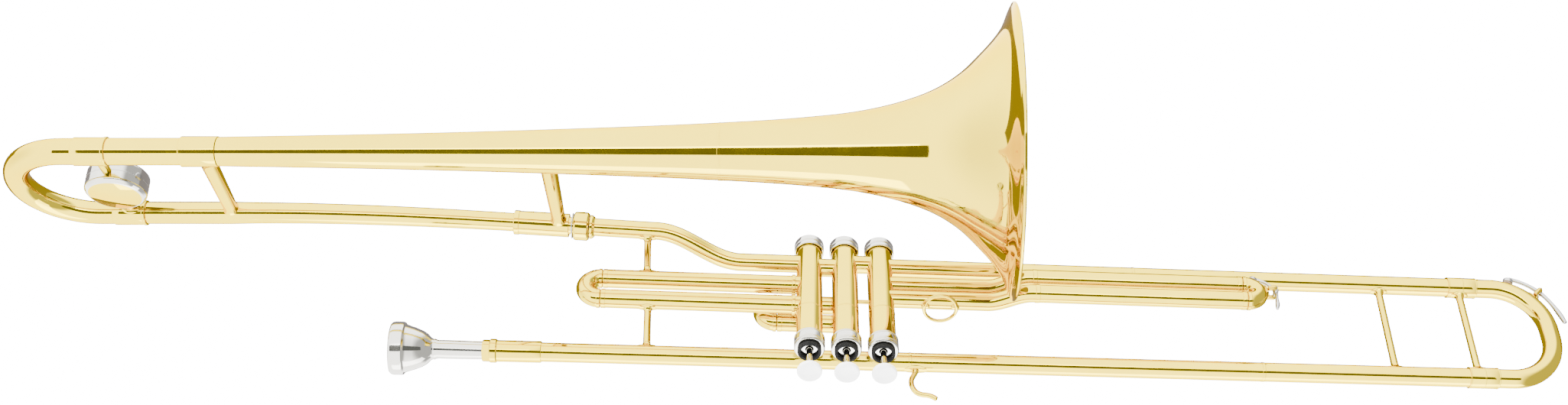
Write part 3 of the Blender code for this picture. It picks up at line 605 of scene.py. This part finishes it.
def make_weight():
    centre = on_bell(-WEIGHT_ALONG, 49.0) - bell_normal * 1.5
    radius, half = 21.8, 9.5
    profile = soften([(0.0, half), (radius - 2.6, half), (radius, half - 2.6), (radius, -half + 2.6),
                      (radius - 2.6, -half), (0.0, -half)], 1.1, 5)
    profile = [p for p in profile if p[0] > 0.05]
    profile = [(0.0, half)] + [(radius * 0.5, half)] + profile + [(radius * 0.5, -half), (0.0, -half)]
    weight = solid_lathe("counterweight", profile, centre, bell_normal, SILVER, 96)
    mount_piece(weight, "tuning_slide", "counterweight")
    disc = [(0.0, half + 0.12), (18.2, half + 0.12), (18.5, half - 0.1), (0.0, half - 0.1)]
    face = solid_lathe("counterweight_face", disc, centre, bell_normal, BRASS, 96)
    mount_piece(face, "tuning_slide", ())
    groove = soften([(radius + 0.05, 0.35), (radius + 0.05, -0.35), (radius - 0.5, -0.35), (radius - 0.5, 0.35)], 0.1)
    mount_piece(lathe("counterweight_seam", groove, centre, bell_normal, KEY_METAL, 96), "tuning_slide", ())
    # The clamping screw in the drum's side, towards the valves.
    screw_axis = (bell_axis * 0.86 - to_neck * 0.5).normalized()
    screw_place = centre + screw_axis * (radius - 0.9)
    head = [(0.0, 1.6), (2.2, 1.6), (2.9, 1.1), (2.9, 0.0), (0.0, 0.0)]
    mount_piece(solid_lathe("counterweight_screw", head, screw_place, screw_axis, KEY_METAL, 32), "tuning_slide",
                ())


def make_post():
    top = on_bell(-WEIGHT_ALONG, 9.4)
    bottom = on_bell(-WEIGHT_ALONG, LEG_SPACING - 8.4)
    obj = rod("counterweight_post", [top, top.lerp(bottom, 0.5), bottom], 3.2, BRASS, 28, 0.0)
    mount_piece(obj, "tuning_slide", "counterweight_post")
    for name, across, towards, radius in (("post_flange_upper", 0.0, to_neck, 10.0),
                                          ("post_flange_lower", LEG_SPACING, -to_neck, 8.9)):
        obj = saddle(name, on_bell(-WEIGHT_ALONG, across), bell_axis, towards, radius, 7.0, 5.2, BRASS)
        mount_piece(obj, "tuning_slide", ())


# ---- gooseneck and valves ---------------------------------------------------------------------------
def make_gooseneck():
    bend = s_bend(lock_line(-138.0), (-75.0, 0.0, -1.3), 36)
    points = [lock_point + lock_axis * 11.9, lock_point + lock_axis * 15.4, *bend,
              Vector((-VALVE_SPACING - TUBE_START, 0.0, -1.3))]
    obj = tube("gooseneck", points, 6.5, BRASS)
    fit_to_casing(obj, 1, -X_AXIS)
    mount_piece(obj, "valve_section", "gooseneck")
    profile = soften([(7.3, 15.4), (8.6, 13.6), (8.6, 11.9), (6.0, 11.9), (6.0, 15.4)], 0.4)
    mount_piece(lathe("lock_receiver", profile, lock_point, lock_axis, BRASS, 56), "valve_section", ())


def valve_x(number):
    return (number - 2) * VALVE_SPACING


def fit_to_casing(obj, number, side):
    """Carry a tube's open end on to the round wall of a valve casing."""
    centre = Vector((valve_x(number), 0.0, 0.0))
    for vertex in obj.data.vertices:
        offset = vertex.co / MM - centre
        reach = offset.dot(side)
        if abs(reach - TUBE_START) < 0.05:
            across = offset - side * reach
            across.z = 0.0
            vertex.co += side * ((sqrt(CASING_WALL ** 2 - across.length_squared) - reach) * MM)


def make_valve(number):
    place = (valve_x(number), 0.0, 0.0)
    body = f"valve_{number}"
    casing = soften([(9.3, 88.0), (9.3, -21.5), (8.4, -21.5), (8.4, 56.0), (2.9, 56.0), (2.9, 58.5), (8.4, 58.5),
                     (8.4, 88.0)], 0.25)
    mount_piece(lathe(f"valve_casing_{number}", casing, place, Z_AXIS, BRASS, 72), "valve_section",
                f"valve_casing_{number}")
    band(f"casing_band_{number}", Vector(place) + Z_AXIS * 53.0, Z_AXIS, 9.3, 0.5, BRASS, "valve_section", proud=0.22)
    top = [(9.9, 92.4), (10.8, 91.6), (10.8, 90.0), (10.45, 89.6), (10.45, 89.2), (10.8, 88.8), (10.8, 83.4),
           (10.45, 83.0), (10.45, 82.6), (10.8, 82.2), (10.8, 81.5), (9.6, 81.5), (9.6, 88.4), (2.9, 88.4),
           (2.9, 92.4)]
    mount_piece(lathe(f"top_valve_cap_{number}", soften(top, 0.3), place, Z_AXIS, SILVER, 72), "valve_section",
                f"top_valve_cap_{number}")
    bottom = [(10.45, -14.0), (10.8, -14.5), (10.8, -17.2), (10.45, -17.6), (10.45, -18.2), (10.8, -18.6),
              (10.8, -22.9), (9.2, -24.5), (5.2, -24.5), (4.6, -24.1), (1.6, -24.6), (1.6, -22.6), (9.6, -22.6),
              (9.6, -14.0)]
    mount_piece(lathe(f"bottom_valve_cap_{number}", soften(bottom, 0.35), place, Z_AXIS, SILVER, 72),
                "valve_section", f"bottom_valve_cap_{number}")
    felt = soften([(8.3, 96.0), (8.3, 92.6), (6.1, 92.6), (6.1, 96.0)], 0.7)
    mount_piece(lathe(f"valve_felt_{number}", felt, place, Z_AXIS, FELT, 48), "valve_section",
                f"valve_felt_{number}")
    piston = soften([(2.45, 52.0), (8.05, 52.0), (8.05, -5.5), (1.2, -5.5), (1.2, 44.0), (2.45, 44.0)], 0.4)
    mount_piece(lathe(f"valve_piston_{number}", piston, place, Z_AXIS, PISTON, 56), body,
                f"valve_piston_{number}")
    stem = [(0.0, 112.4), (1.6, 112.4), (2.1, 111.6), (2.1, 80.4), (2.5, 80.0), (6.2, 80.0), (6.4, 79.8), (6.4, 78.4),
            (6.2, 78.2), (2.1, 78.2), (2.1, 45.0), (0.0, 45.0)]
    mount_piece(solid_lathe(f"valve_stem_{number}", stem, place, Z_AXIS, SILVER, 32), body,
                f"valve_stem_{number}")
    button = [(0.0, 115.7), (3.0, 115.75), (6.2, 116.05), (7.4, 116.5), (8.0, 116.55), (8.45, 116.3), (8.7, 115.6),
              (8.7, 114.4), (8.4, 113.6), (7.4, 113.0), (5.0, 112.8), (0.0, 112.8)]
    mount_piece(solid_lathe(f"finger_button_{number}", button, place, Z_AXIS, PEARL, 56), body,
                f"finger_button_{number}")
    turns, steps = 4, 4 * 36
    low, high = 59.3, 77.4
    coil = []
    for i in range(steps + 1):
        angle = 2.0 * pi * turns * i / steps
        coil.append(Vector((valve_x(number) + 4.8 * cos(angle), 4.8 * sin(angle), low + (high - low) * i / steps)))
    spring = mount_piece(rod(f"valve_spring_{number}", coil, 0.5, PISTON, 10), "valve_section",
                         f"valve_spring_{number}")
    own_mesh(spring)


def make_knuckles():
    for name, number, height in (("valve_knuckle_1_2", 1, 2.0), ("valve_knuckle_2_3", 2, -3.0)):
        start, stop = valve_x(number) + TUBE_START, valve_x(number + 1) - TUBE_START
        obj = tube(name, [(start, 0, height), (stop, 0, height)], 6.6, BRASS)
        fit_to_casing(obj, number, X_AXIS)
        fit_to_casing(obj, number + 1, -X_AXIS)
        mount_piece(obj, "valve_section", name)
    start, stop = valve_x(2) + CASING_WALL, valve_x(3) - CASING_WALL
    tie = rod("casing_tie_2_3", [(start, 3.0, 43.0), (stop, 3.0, 43.0)], 1.6, BRASS_DARK, 16, 0.0)
    mount_piece(tie, "valve_section", ())


# ---- valve slides -----------------------------------------------------------------------------------
FIRST_LEGS = ((0.0, 22.9), (0.0, 45.2))
SECOND_LEGS = ((-17.0, 24.4), (-17.0, 44.8))
THIRD_NEAR = ((0.0, 19.8), (1.0, 36.0))
THIRD_FAR = ((9.0, 17.4), (11.3, 37.0))
FIRST_END, SECOND_END, THIRD_END = -173.4, -47.9, 285.0


def make_slide_loop(name, body, legs, end, reach, forward, radius, inner):
    first, second = Vector((0.0, *legs[0])), Vector((0.0, *legs[1]))
    across = (second - first).normalized()
    bend = (second - first).length / 2.0
    middle = (first + second) / 2.0
    seam = Vector((end + forward * 0.35, 0.0, 0.0))
    step = Vector((forward * 0.3, 0.0, 0.0))
    deep = Vector((end - forward * reach, 0.0, 0.0))
    bow = arc(seam + middle + step, -across, X_AXIS * forward, bend, pi, 36)
    points = [deep + first, seam + first - step, *bow, seam + second - step, deep + second]
    radii = [inner, inner, *[radius] * len(bow), inner, inner]
    mount_piece(tube(name, points, radii, BRASS, 0.6), body, name)
    for i, leg in enumerate((first, second)):
        band(f"{name}_band_{i + 1}", seam + leg + X_AXIS * forward * 1.5, X_AXIS, radius, 1.2, BRASS, body,
             proud=0.35)


def end_band(name, place, radius, body="valve_section"):
    band(name, Vector(place), X_AXIS, radius, 1.6, BRASS, body, proud=0.35)


def make_fixed_slide_tubes():
    start = -VALVE_SPACING - TUBE_START
    for label, leg in zip(("lower", "upper"), FIRST_LEGS):
        name = f"first_slide_tube_{label}"
        obj = tube(name, [(start, *leg), (FIRST_END, *leg)], 6.7, BRASS)
        fit_to_casing(obj, 1, -X_AXIS)
        mount_piece(obj, "valve_section", name)
        end_band(f"{name}_band", (FIRST_END + 1.7, *leg), 6.6)
        foot = soften([(7.6, -1.0), (7.6, -3.6), (6.5, -3.6), (6.5, -1.0)], 0.5)
        mount_piece(lathe(f"{name}_root", foot, (start, *leg), X_AXIS, BRASS, 48), "valve_section", ())
    bend = 7.3
    for label, leg in zip(("lower", "upper"), SECOND_LEGS):
        name = f"second_slide_tube_{label}"
        height = leg[1]
        corner = arc((-bend, leg[0] + bend, height), X_AXIS, -Y_AXIS, bend, pi / 2, 18)
        points = [Vector((0, -TUBE_START, height)), *corner, Vector((SECOND_END, leg[0], height))]
        obj = tube(name, points, 6.5, BRASS)
        fit_to_casing(obj, 2, -Y_AXIS)
        mount_piece(obj, "valve_section", name)
        end_band(f"{name}_band", (SECOND_END + 1.7, *leg), 6.4)
    start = VALVE_SPACING + TUBE_START
    for label, near, far in zip(("lower", "upper"), THIRD_NEAR, THIRD_FAR):
        name = f"third_slide_tube_{label}"
        bend_path = s_bend((101.0, *near), (133.0, *far), 24)
        points = [Vector((start, *near)), *bend_path, Vector((THIRD_END, *far))]
        obj = tube(name, points, 6.5, BRASS)
        fit_to_casing(obj, 3, X_AXIS)
        mount_piece(obj, "valve_section", name)
        end_band(f"{name}_band", (THIRD_END - 1.7, *far), 6.4)
        end_band(f"{name}_joint", (136.0, *far), 6.4)


def make_finger_ring():
    height = THIRD_NEAR[1][1] + 6.5 + 0.3 + 1.3
    loop = arc((67.4, 0.5, height), X_AXIS, Y_AXIS, 11.6, 2 * pi, 72)[:-1]
    mount_piece(ring_wire("finger_ring", loop, 1.3, BRASS), "valve_section", "finger_ring")
    place = Vector((67.4, THIRD_NEAR[1][0], THIRD_NEAR[1][1]))
    for i, x in enumerate((-10.6, 10.6)):
        foot = saddle(f"finger_ring_foot_{i + 1}", place + X_AXIS * x, X_AXIS, Z_AXIS, 6.5, 3.0, 2.4, BRASS, 1.3)
        mount_piece(foot, "valve_section", ())


# ---- mouthpiece, mouthpipe, return tube and front bow -----------------------------------------------
def make_mouthpiece():
    outside = [(6.3, 63.8), (6.6, 40.0), (6.5, 33.0), (7.4, 30.4), (7.1, 29.8), (7.9, 28.2), (10.6, 25.6),
               (12.6, 22.4), (14.9, 16.6), (16.2, 12.4), (16.9, 10.6), (18.3, 9.6), (18.6, 8.6), (18.6, 3.0),
               (18.2, 1.2), (17.2, 0.15), (15.8, 0.0), (14.4, 0.35), (13.3, 1.4), (12.8, 3.0)]
    inside = [(12.2, 8.0), (11.0, 12.5), (8.6, 17.0), (5.2, 20.6), (3.4, 22.6), (3.2, 27.0), (3.9, 92.0)]
    profile = soften([(5.9, 92.0)] + outside + inside, 0.25, 2)
    obj = lathe("mouthpiece", profile, on_mouthpipe(-316.5), mouthpipe_axis, SILVER, 96)
    turn_outward(obj)
    mount_piece(obj, "mouthpiece", "mouthpiece")


def make_mouthpipe():
    receiver = [(-252.8, 7.3), (-252.2, 7.7), (-248.0, 7.7), (-247.6, 8.0), (-247.2, 8.4), (-243.4, 8.4),
                (-242.9, 8.0), (-242.6, 7.6), (-212.4, 7.6), (-211.8, 7.2)]
    points = [on_mouthpipe(x) for x, _ in receiver]
    obj = tube("mouthpiece_receiver", points, [r for _, r in receiver], BRASS, 0.8)
    mount_piece(obj, "valve_section", "mouthpiece_receiver")
    end = BOW_START - 21.0
    obj = tube("mouthpipe", [on_mouthpipe(-212.4), on_mouthpipe(end)], MAIN_RADIUS, BRASS)
    mount_piece(obj, "valve_section", "mouthpipe")
    obj = tube("return_tube", [(VALVE_SPACING + TUBE_START, 0, 0), (end, 0, 0)], MAIN_RADIUS, BRASS)
    fit_to_casing(obj, 3, X_AXIS)
    mount_piece(obj, "valve_section", "return_tube")
    for name, place in (("mouthpipe_band_1", on_mouthpipe(45.4)), ("mouthpipe_band_2", on_mouthpipe(294.1)),
                        ("return_band", Vector((210.0, 0, 0)))):
        band(name, place, X_AXIS, MAIN_RADIUS, 1.0, BRASS, "valve_section", proud=0.2)


FRONT_CORNER, FRONT_STRAIGHT = 36.0, 10.5
front_low = Vector((BOW_START, 0.0, 0.0))
front_high = on_mouthpipe(BOW_START)
low_corner = front_low + X_AXIS * FRONT_STRAIGHT + to_mouthpipe * FRONT_CORNER
high_corner = front_high + X_AXIS * FRONT_STRAIGHT - to_mouthpipe * FRONT_CORNER


def make_front_bow():
    first = arc(low_corner, -to_mouthpipe, X_AXIS, FRONT_CORNER, pi / 2, 24)
    second = arc(high_corner, X_AXIS, to_mouthpipe, FRONT_CORNER, pi / 2, 24)
    back = Vector((BOW_START - 20.0, 0.0, 0.0))
    points = [back, *first, *second, on_mouthpipe(BOW_START - 20.0)]
    obj = tube("front_bow", points, MAIN_RADIUS, BRASS)
    mount_piece(obj, "valve_section", "front_bow")
    for name, place in (("front_ferrule_low", front_low - X_AXIS * 10.5),
                        ("front_ferrule_high", on_mouthpipe(BOW_START - 10.5))):
        sleeve = soften([(7.5, 10.5), (7.5, -10.5), (6.5, -10.5), (6.5, 10.5)], 0.45)
        mount_piece(lathe(name, sleeve, place, X_AXIS, BRASS, 56), "valve_section", ())
        for k, offset in enumerate((-10.0, 0.0, 10.0)):
            band(f"{name}_line_{k}", place + X_AXIS * offset, X_AXIS, 7.5, 0.45, BRASS, "valve_section", proud=0.12)


def make_cross_brace(name, start, stop, start_radius, stop_radius, start_axis, stop_axis):
    line = (stop - start).normalized()
    low, high = start + line * (start_radius - 0.4), stop - line * (stop_radius - 0.4)
    length = (high - low).length
    points, radii = [], []
    for i in range(33):
        t = i / 32
        near, far = t * length, (1 - t) * length
        flare = 1.5 * max(0.0, 1 - near / 3.4) ** 2 + 1.5 * max(0.0, 1 - far / 3.4) ** 2
        points.append(low.lerp(high, t))
        radii.append(2.6 + flare)
    mount_piece(rod(name, points, radii, BRASS, 28, 0.0), "valve_section", name)
    for tag, centre, axis, towards, radius in (("low", start, start_axis, line, start_radius),
                                               ("high", stop, stop_axis, -line, stop_radius)):
        flange = saddle(f"{name}_flange_{tag}", centre, axis, towards, radius, 6.2, 4.6, BRASS, 0.6)
        mount_piece(flange, "valve_section", ())


def make_braces():
    make_cross_brace("front_brace_rear", Vector((389.6, 0, 0)), on_mouthpipe(389.6), 6.8, 6.8, X_AXIS, X_AXIS)
    make_cross_brace("front_brace_front", Vector((448.4, 0, 0)), on_mouthpipe(448.4), 7.5, 7.5, X_AXIS, X_AXIS)
    make_cross_brace("gooseneck_brace", lock_line(-143.5), Vector((-142.0, 0.0, 22.9)), 6.5, 6.7, lock_axis, X_AXIS)
    make_cross_brace("mouthpipe_brace", Vector((-140.0, 0.0, 45.2)), on_mouthpipe(-138.8), 6.7, 6.8, X_AXIS, X_AXIS)


def make_hook():
    stations = [(49.4, 6.6), (48.6, 10.0), (46.4, 15.0), (46.6, 20.0), (48.8, 24.6), (52.6, 27.0), (57.5, 27.7),
                (61.0, 28.9), (63.6, 30.8)]
    points = [on_mouthpipe(x) + to_mouthpipe * height for x, height in stations]
    radii = [2.8, 2.0, 1.9, 1.9, 1.9, 1.9, 1.9, 1.9, 1.8]
    obj = rod("pinky_hook", through(points), smooth_values(radii), BRASS, 20)
    mount_piece(obj, "valve_section", "pinky_hook")
    flange = saddle("pinky_hook_flange", on_mouthpipe(49.4), X_AXIS, to_mouthpipe, 6.8, 8.0, 4.4, BRASS, 0.7)
    mount_piece(flange, "valve_section", ())


# ---- water keys -------------------------------------------------------------------------------------
def make_key(tag, key_body, carrier, points, widths, pivot, hinge, cork_place, cork_axis, cork_sizes, saddle_at):
    lever = rod(f"{tag}_lever", through(points), smooth_values(widths), KEY_METAL, 18)
    mount_piece(lever, key_body, f"{tag}_lever")
    radius, low, high = cork_sizes
    pad = [(0.0, high), (radius - 0.3, high), (radius, high - 0.4), (radius, low + 0.4), (radius - 0.4, low),
           (0.0, low)]
    mount_piece(solid_lathe(f"{tag}_cork", pad, cork_place, cork_axis, CORK, 32), key_body, f"{tag}_cork")
    cup = soften([(radius + 0.7, high + 0.7), (radius + 0.7, low + 1.3), (radius + 0.05, low + 1.3),
                  (radius + 0.05, high + 0.02), (0.6, high + 0.02), (0.6, high + 0.7)], 0.2)
    mount_piece(lathe(f"{tag}_cup", cup, cork_place, cork_axis, KEY_METAL, 40), key_body, ())
    barrel = rod(f"{tag}_pivot", [pivot - hinge * 3.0, pivot, pivot + hinge * 3.0], 1.9, KEY_METAL, 24)
    mount_piece(barrel, key_body, ())
    centre, axis, out, reach = saddle_at
    base = saddle(f"{tag}_saddle", centre, axis, out, reach, 5.0, 5.0, BRASS_DARK, 0.9)
    mount_piece(base, carrier, ())
    for i, sign in enumerate((-1.0, 1.0)):
        foot = centre + out * (reach + 0.3) + hinge * sign * 4.0
        ear = rod(f"{tag}_ear_{i + 1}", [foot, pivot + hinge * sign * 4.0], [1.7, 1.9], BRASS_DARK, 20)
        mount_piece(ear, carrier, ())
    pin = rod(f"{tag}_pin", [pivot - hinge * 5.3, pivot + hinge * 5.3], 0.8, KEY_METAL, 16)
    mount_piece(pin, carrier, ())


def front_outward(angle):
    return -to_mouthpipe * cos(radians(angle)) + X_AXIS * sin(radians(angle))


def make_front_key():
    reach = FRONT_CORNER + MAIN_RADIUS
    stations = [(20.0, 6.0), (29.0, 6.8), (38.0, 7.4), (47.0, 7.6), (55.0, 7.4), (64.0, 7.0), (73.0, 7.0),
                (82.0, 7.6)]
    points = [low_corner + front_outward(angle) * (reach + offset) for angle, offset in stations]
    widths = [1.6, 1.5, 1.5, 1.7, 1.5, 1.6, 1.9, 1.5]
    out = front_outward(47.0)
    pivot = low_corner + out * (reach + 7.6)
    hinge = X_AXIS.cross(to_mouthpipe).normalized()
    tangent = hinge.cross(out)
    cork_out = front_outward(20.0)
    make_key("front_key", "front_water_key", "valve_section", points, widths, pivot, hinge,
             low_corner + cork_out * reach, cork_out, (2.9, 0.35, 3.9),
             (low_corner + out * FRONT_CORNER, tangent, out, MAIN_RADIUS))


def make_slide_key():
    lower, upper = Vector((0.0, *THIRD_FAR[0])), Vector((0.0, *THIRD_FAR[1]))
    centre = (lower + upper) / 2.0 + X_AXIS * (THIRD_END + 0.65)
    up = (upper - lower).normalized()
    bend = (upper - lower).length / 2.0
    reach = bend + 6.7

    def outward(angle):
        return X_AXIS * cos(radians(angle)) + up * sin(radians(angle))

    stations = ((-62.0, 5.4), (-44.0, 6.2), (-24.0, 6.6), (-6.0, 6.6), (14.0, 6.4), (32.0, 8.4), (44.0, 11.0))
    points = [centre + outward(angle) * (reach + offset) for angle, offset in stations]
    widths = [1.5, 1.3, 1.3, 1.5, 1.3, 1.6, 1.2]
    out = outward(-6.0)
    hinge = X_AXIS.cross(up).normalized()
    cork_out = outward(-62.0)
    make_key("slide_key", "slide_water_key", "third_valve_slide", points, widths,
             centre + out * (reach + 6.6), hinge, centre + cork_out * reach, cork_out, (2.6, 0.35, 3.3),
             (centre + out * bend, hinge.cross(out), out, 6.7))


make_bell()
make_tail()
make_neckpipe()
make_bell_brace("bell_brace_rear", 554.5, Vector((-445.0, 16.2, -18.0)), 7.4)
make_bell_brace("bell_brace_front", 318.3, Vector((-207.5, 20.1, -11.9)), 8.6)
make_lock_nut()
make_tuning_slide()
make_weight()
make_post()
make_gooseneck()
for valve in (1, 2, 3):
    make_valve(valve)
make_knuckles()
make_slide_loop("first_slide", "first_valve_slide", FIRST_LEGS, FIRST_END, 108.0, -1.0, 6.7, 5.8)
make_slide_loop("second_slide", "second_valve_slide", SECOND_LEGS, SECOND_END, 36.0, -1.0, 6.5, 5.6)
make_slide_loop("third_slide", "third_valve_slide", THIRD_FAR, THIRD_END, 140.0, 1.0, 6.5, 5.6)
make_fixed_slide_tubes()
make_finger_ring()
make_mouthpiece()
make_mouthpipe()
make_front_bow()
make_braces()
make_hook()
make_front_key()
make_slide_key()


# ---- floor and light --------------------------------------------------------------------------------
def emitter(name, colour):
    material = bpy.data.materials.new(name)
    material.use_nodes = True
    nodes, links = material.node_tree.nodes, material.node_tree.links
    nodes.remove(nodes["Principled BSDF"])
    glow = nodes.new("ShaderNodeEmission")
    glow.inputs["Color"].default_value = (*colour, 1.0)
    glow.inputs["Strength"].default_value = 1.0
    links.new(glow.outputs["Emission"], nodes["Material Output"].inputs["Surface"])
    return material


def plane(name, size_x, size_y, material):
    mesh = bpy.data.meshes.new(name)
    x, y = size_x / 2.0, size_y / 2.0
    mesh.from_pydata([(-x, -y, 0), (x, -y, 0), (x, y, 0), (-x, y, 0)], [], [(0, 1, 2, 3)])
    mesh.materials.append(material)
    obj = bpy.data.objects.new(name, mesh)
    bpy.context.scene.collection.objects.link(obj)
    return obj


floor_material = bpy.data.materials.new("pale_floor")
floor_material.use_nodes = True
floor_shader = floor_material.node_tree.nodes["Principled BSDF"]
set_sockets(floor_shader, {"Base Color": (0.95, 0.95, 0.95, 1.0), "Roughness": 0.9, "Emission Strength": 11.0,
                           "Emission Color": (1.0, 1.0, 1.0, 1.0)})
floor = plane("floor", 16.0, 16.0, floor_material)
floor.location = (0.0, 0.0, -0.8)
floor.visible_glossy = False


def dark_card(name, size_x, size_y, colour):
    """A card seen only in reflections."""
    card = plane(name, size_x, size_y, emitter(name, colour))
    card.visible_camera = False
    card.visible_shadow = False
    card.visible_diffuse = False
    return card


# Behind the camera, as the photographer's side of a white studio: it draws the dark line along every tube.
behind_camera = dark_card("dark_card", 2.7, 0.72, (0.24, 0.25, 0.24))
behind_camera.matrix_world = Matrix.Translation(CAMERA_PLACE + camera_back * 0.1) @ Matrix(
    (camera_right, camera_up, camera_back)).transposed().to_4x4()
# Below the instrument: it darkens the undersides of the tubes and the sides of the casings.
dark_card("under_card", 2.6, 0.98, (0.55, 0.5, 0.5)).location = (0.0, -0.41, -0.3)

STUDIO_GLOW, WALL_GLOW = 6.7, 1.1
REAR_SHARE = 0.45     # how much of the front wall's dimming the wall past the tuning slide gets

world = bpy.data.worlds.new("studio")
bpy.context.scene.world = world
world.use_nodes = True
sky, sky_links = world.node_tree.nodes, world.node_tree.links
# The white studio: bright in front, above and behind, a dim wall past the front bow and a paler one
# past the tuning slide.
sky_direction = sky.new("ShaderNodeTexCoord")
sky_split = sky.new("ShaderNodeSeparateXYZ")
sky_back = sky.new("ShaderNodeMath")
sky_back.operation = "MULTIPLY"
sky_back.inputs[1].default_value = -REAR_SHARE
sky_side = sky.new("ShaderNodeMath")
sky_side.operation = "MAXIMUM"
sky_walls = sky.new("ShaderNodeMapRange")
sky_walls.interpolation_type = "SMOOTHSTEP"
set_sockets(sky_walls, {"From Min": 0.34, "From Max": 0.62, "To Min": STUDIO_GLOW, "To Max": WALL_GLOW})
sky["Background"].inputs["Color"].default_value = (1.0, 1.0, 1.0, 1.0)
sky_links.new(sky_direction.outputs["Generated"], sky_split.inputs["Vector"])
sky_links.new(sky_split.outputs["X"], sky_back.inputs[0])
sky_links.new(sky_split.outputs["X"], sky_side.inputs[0])
sky_links.new(sky_back.outputs["Value"], sky_side.inputs[1])
sky_links.new(sky_side.outputs["Value"], sky_walls.inputs["Value"])
sky_links.new(sky_walls.outputs["Result"], sky["Background"].inputs["Strength"])


def softbox(name, place, aim, size, power):
    data = bpy.data.lights.new(name, "AREA")
    data.shape = "RECTANGLE"
    data.size, data.size_y = size
    data.energy = power
    light = bpy.data.objects.new(name, data)
    light.location = place
    light.rotation_mode = "QUATERNION"
    light.rotation_quaternion = (Vector(place) - Vector(aim)).to_track_quat("Z", "Y")
    bpy.context.scene.collection.objects.link(light)
    return light


softbox("key_softbox", (-0.5, 2.0, 2.0), (0.0, 0.0, 0.0), (3.0, 1.2), 95.0)
softbox("fill_softbox", (0.4, -1.8, 1.7), (0.0, 0.0, 0.0), (3.0, 1.2), 80.0)
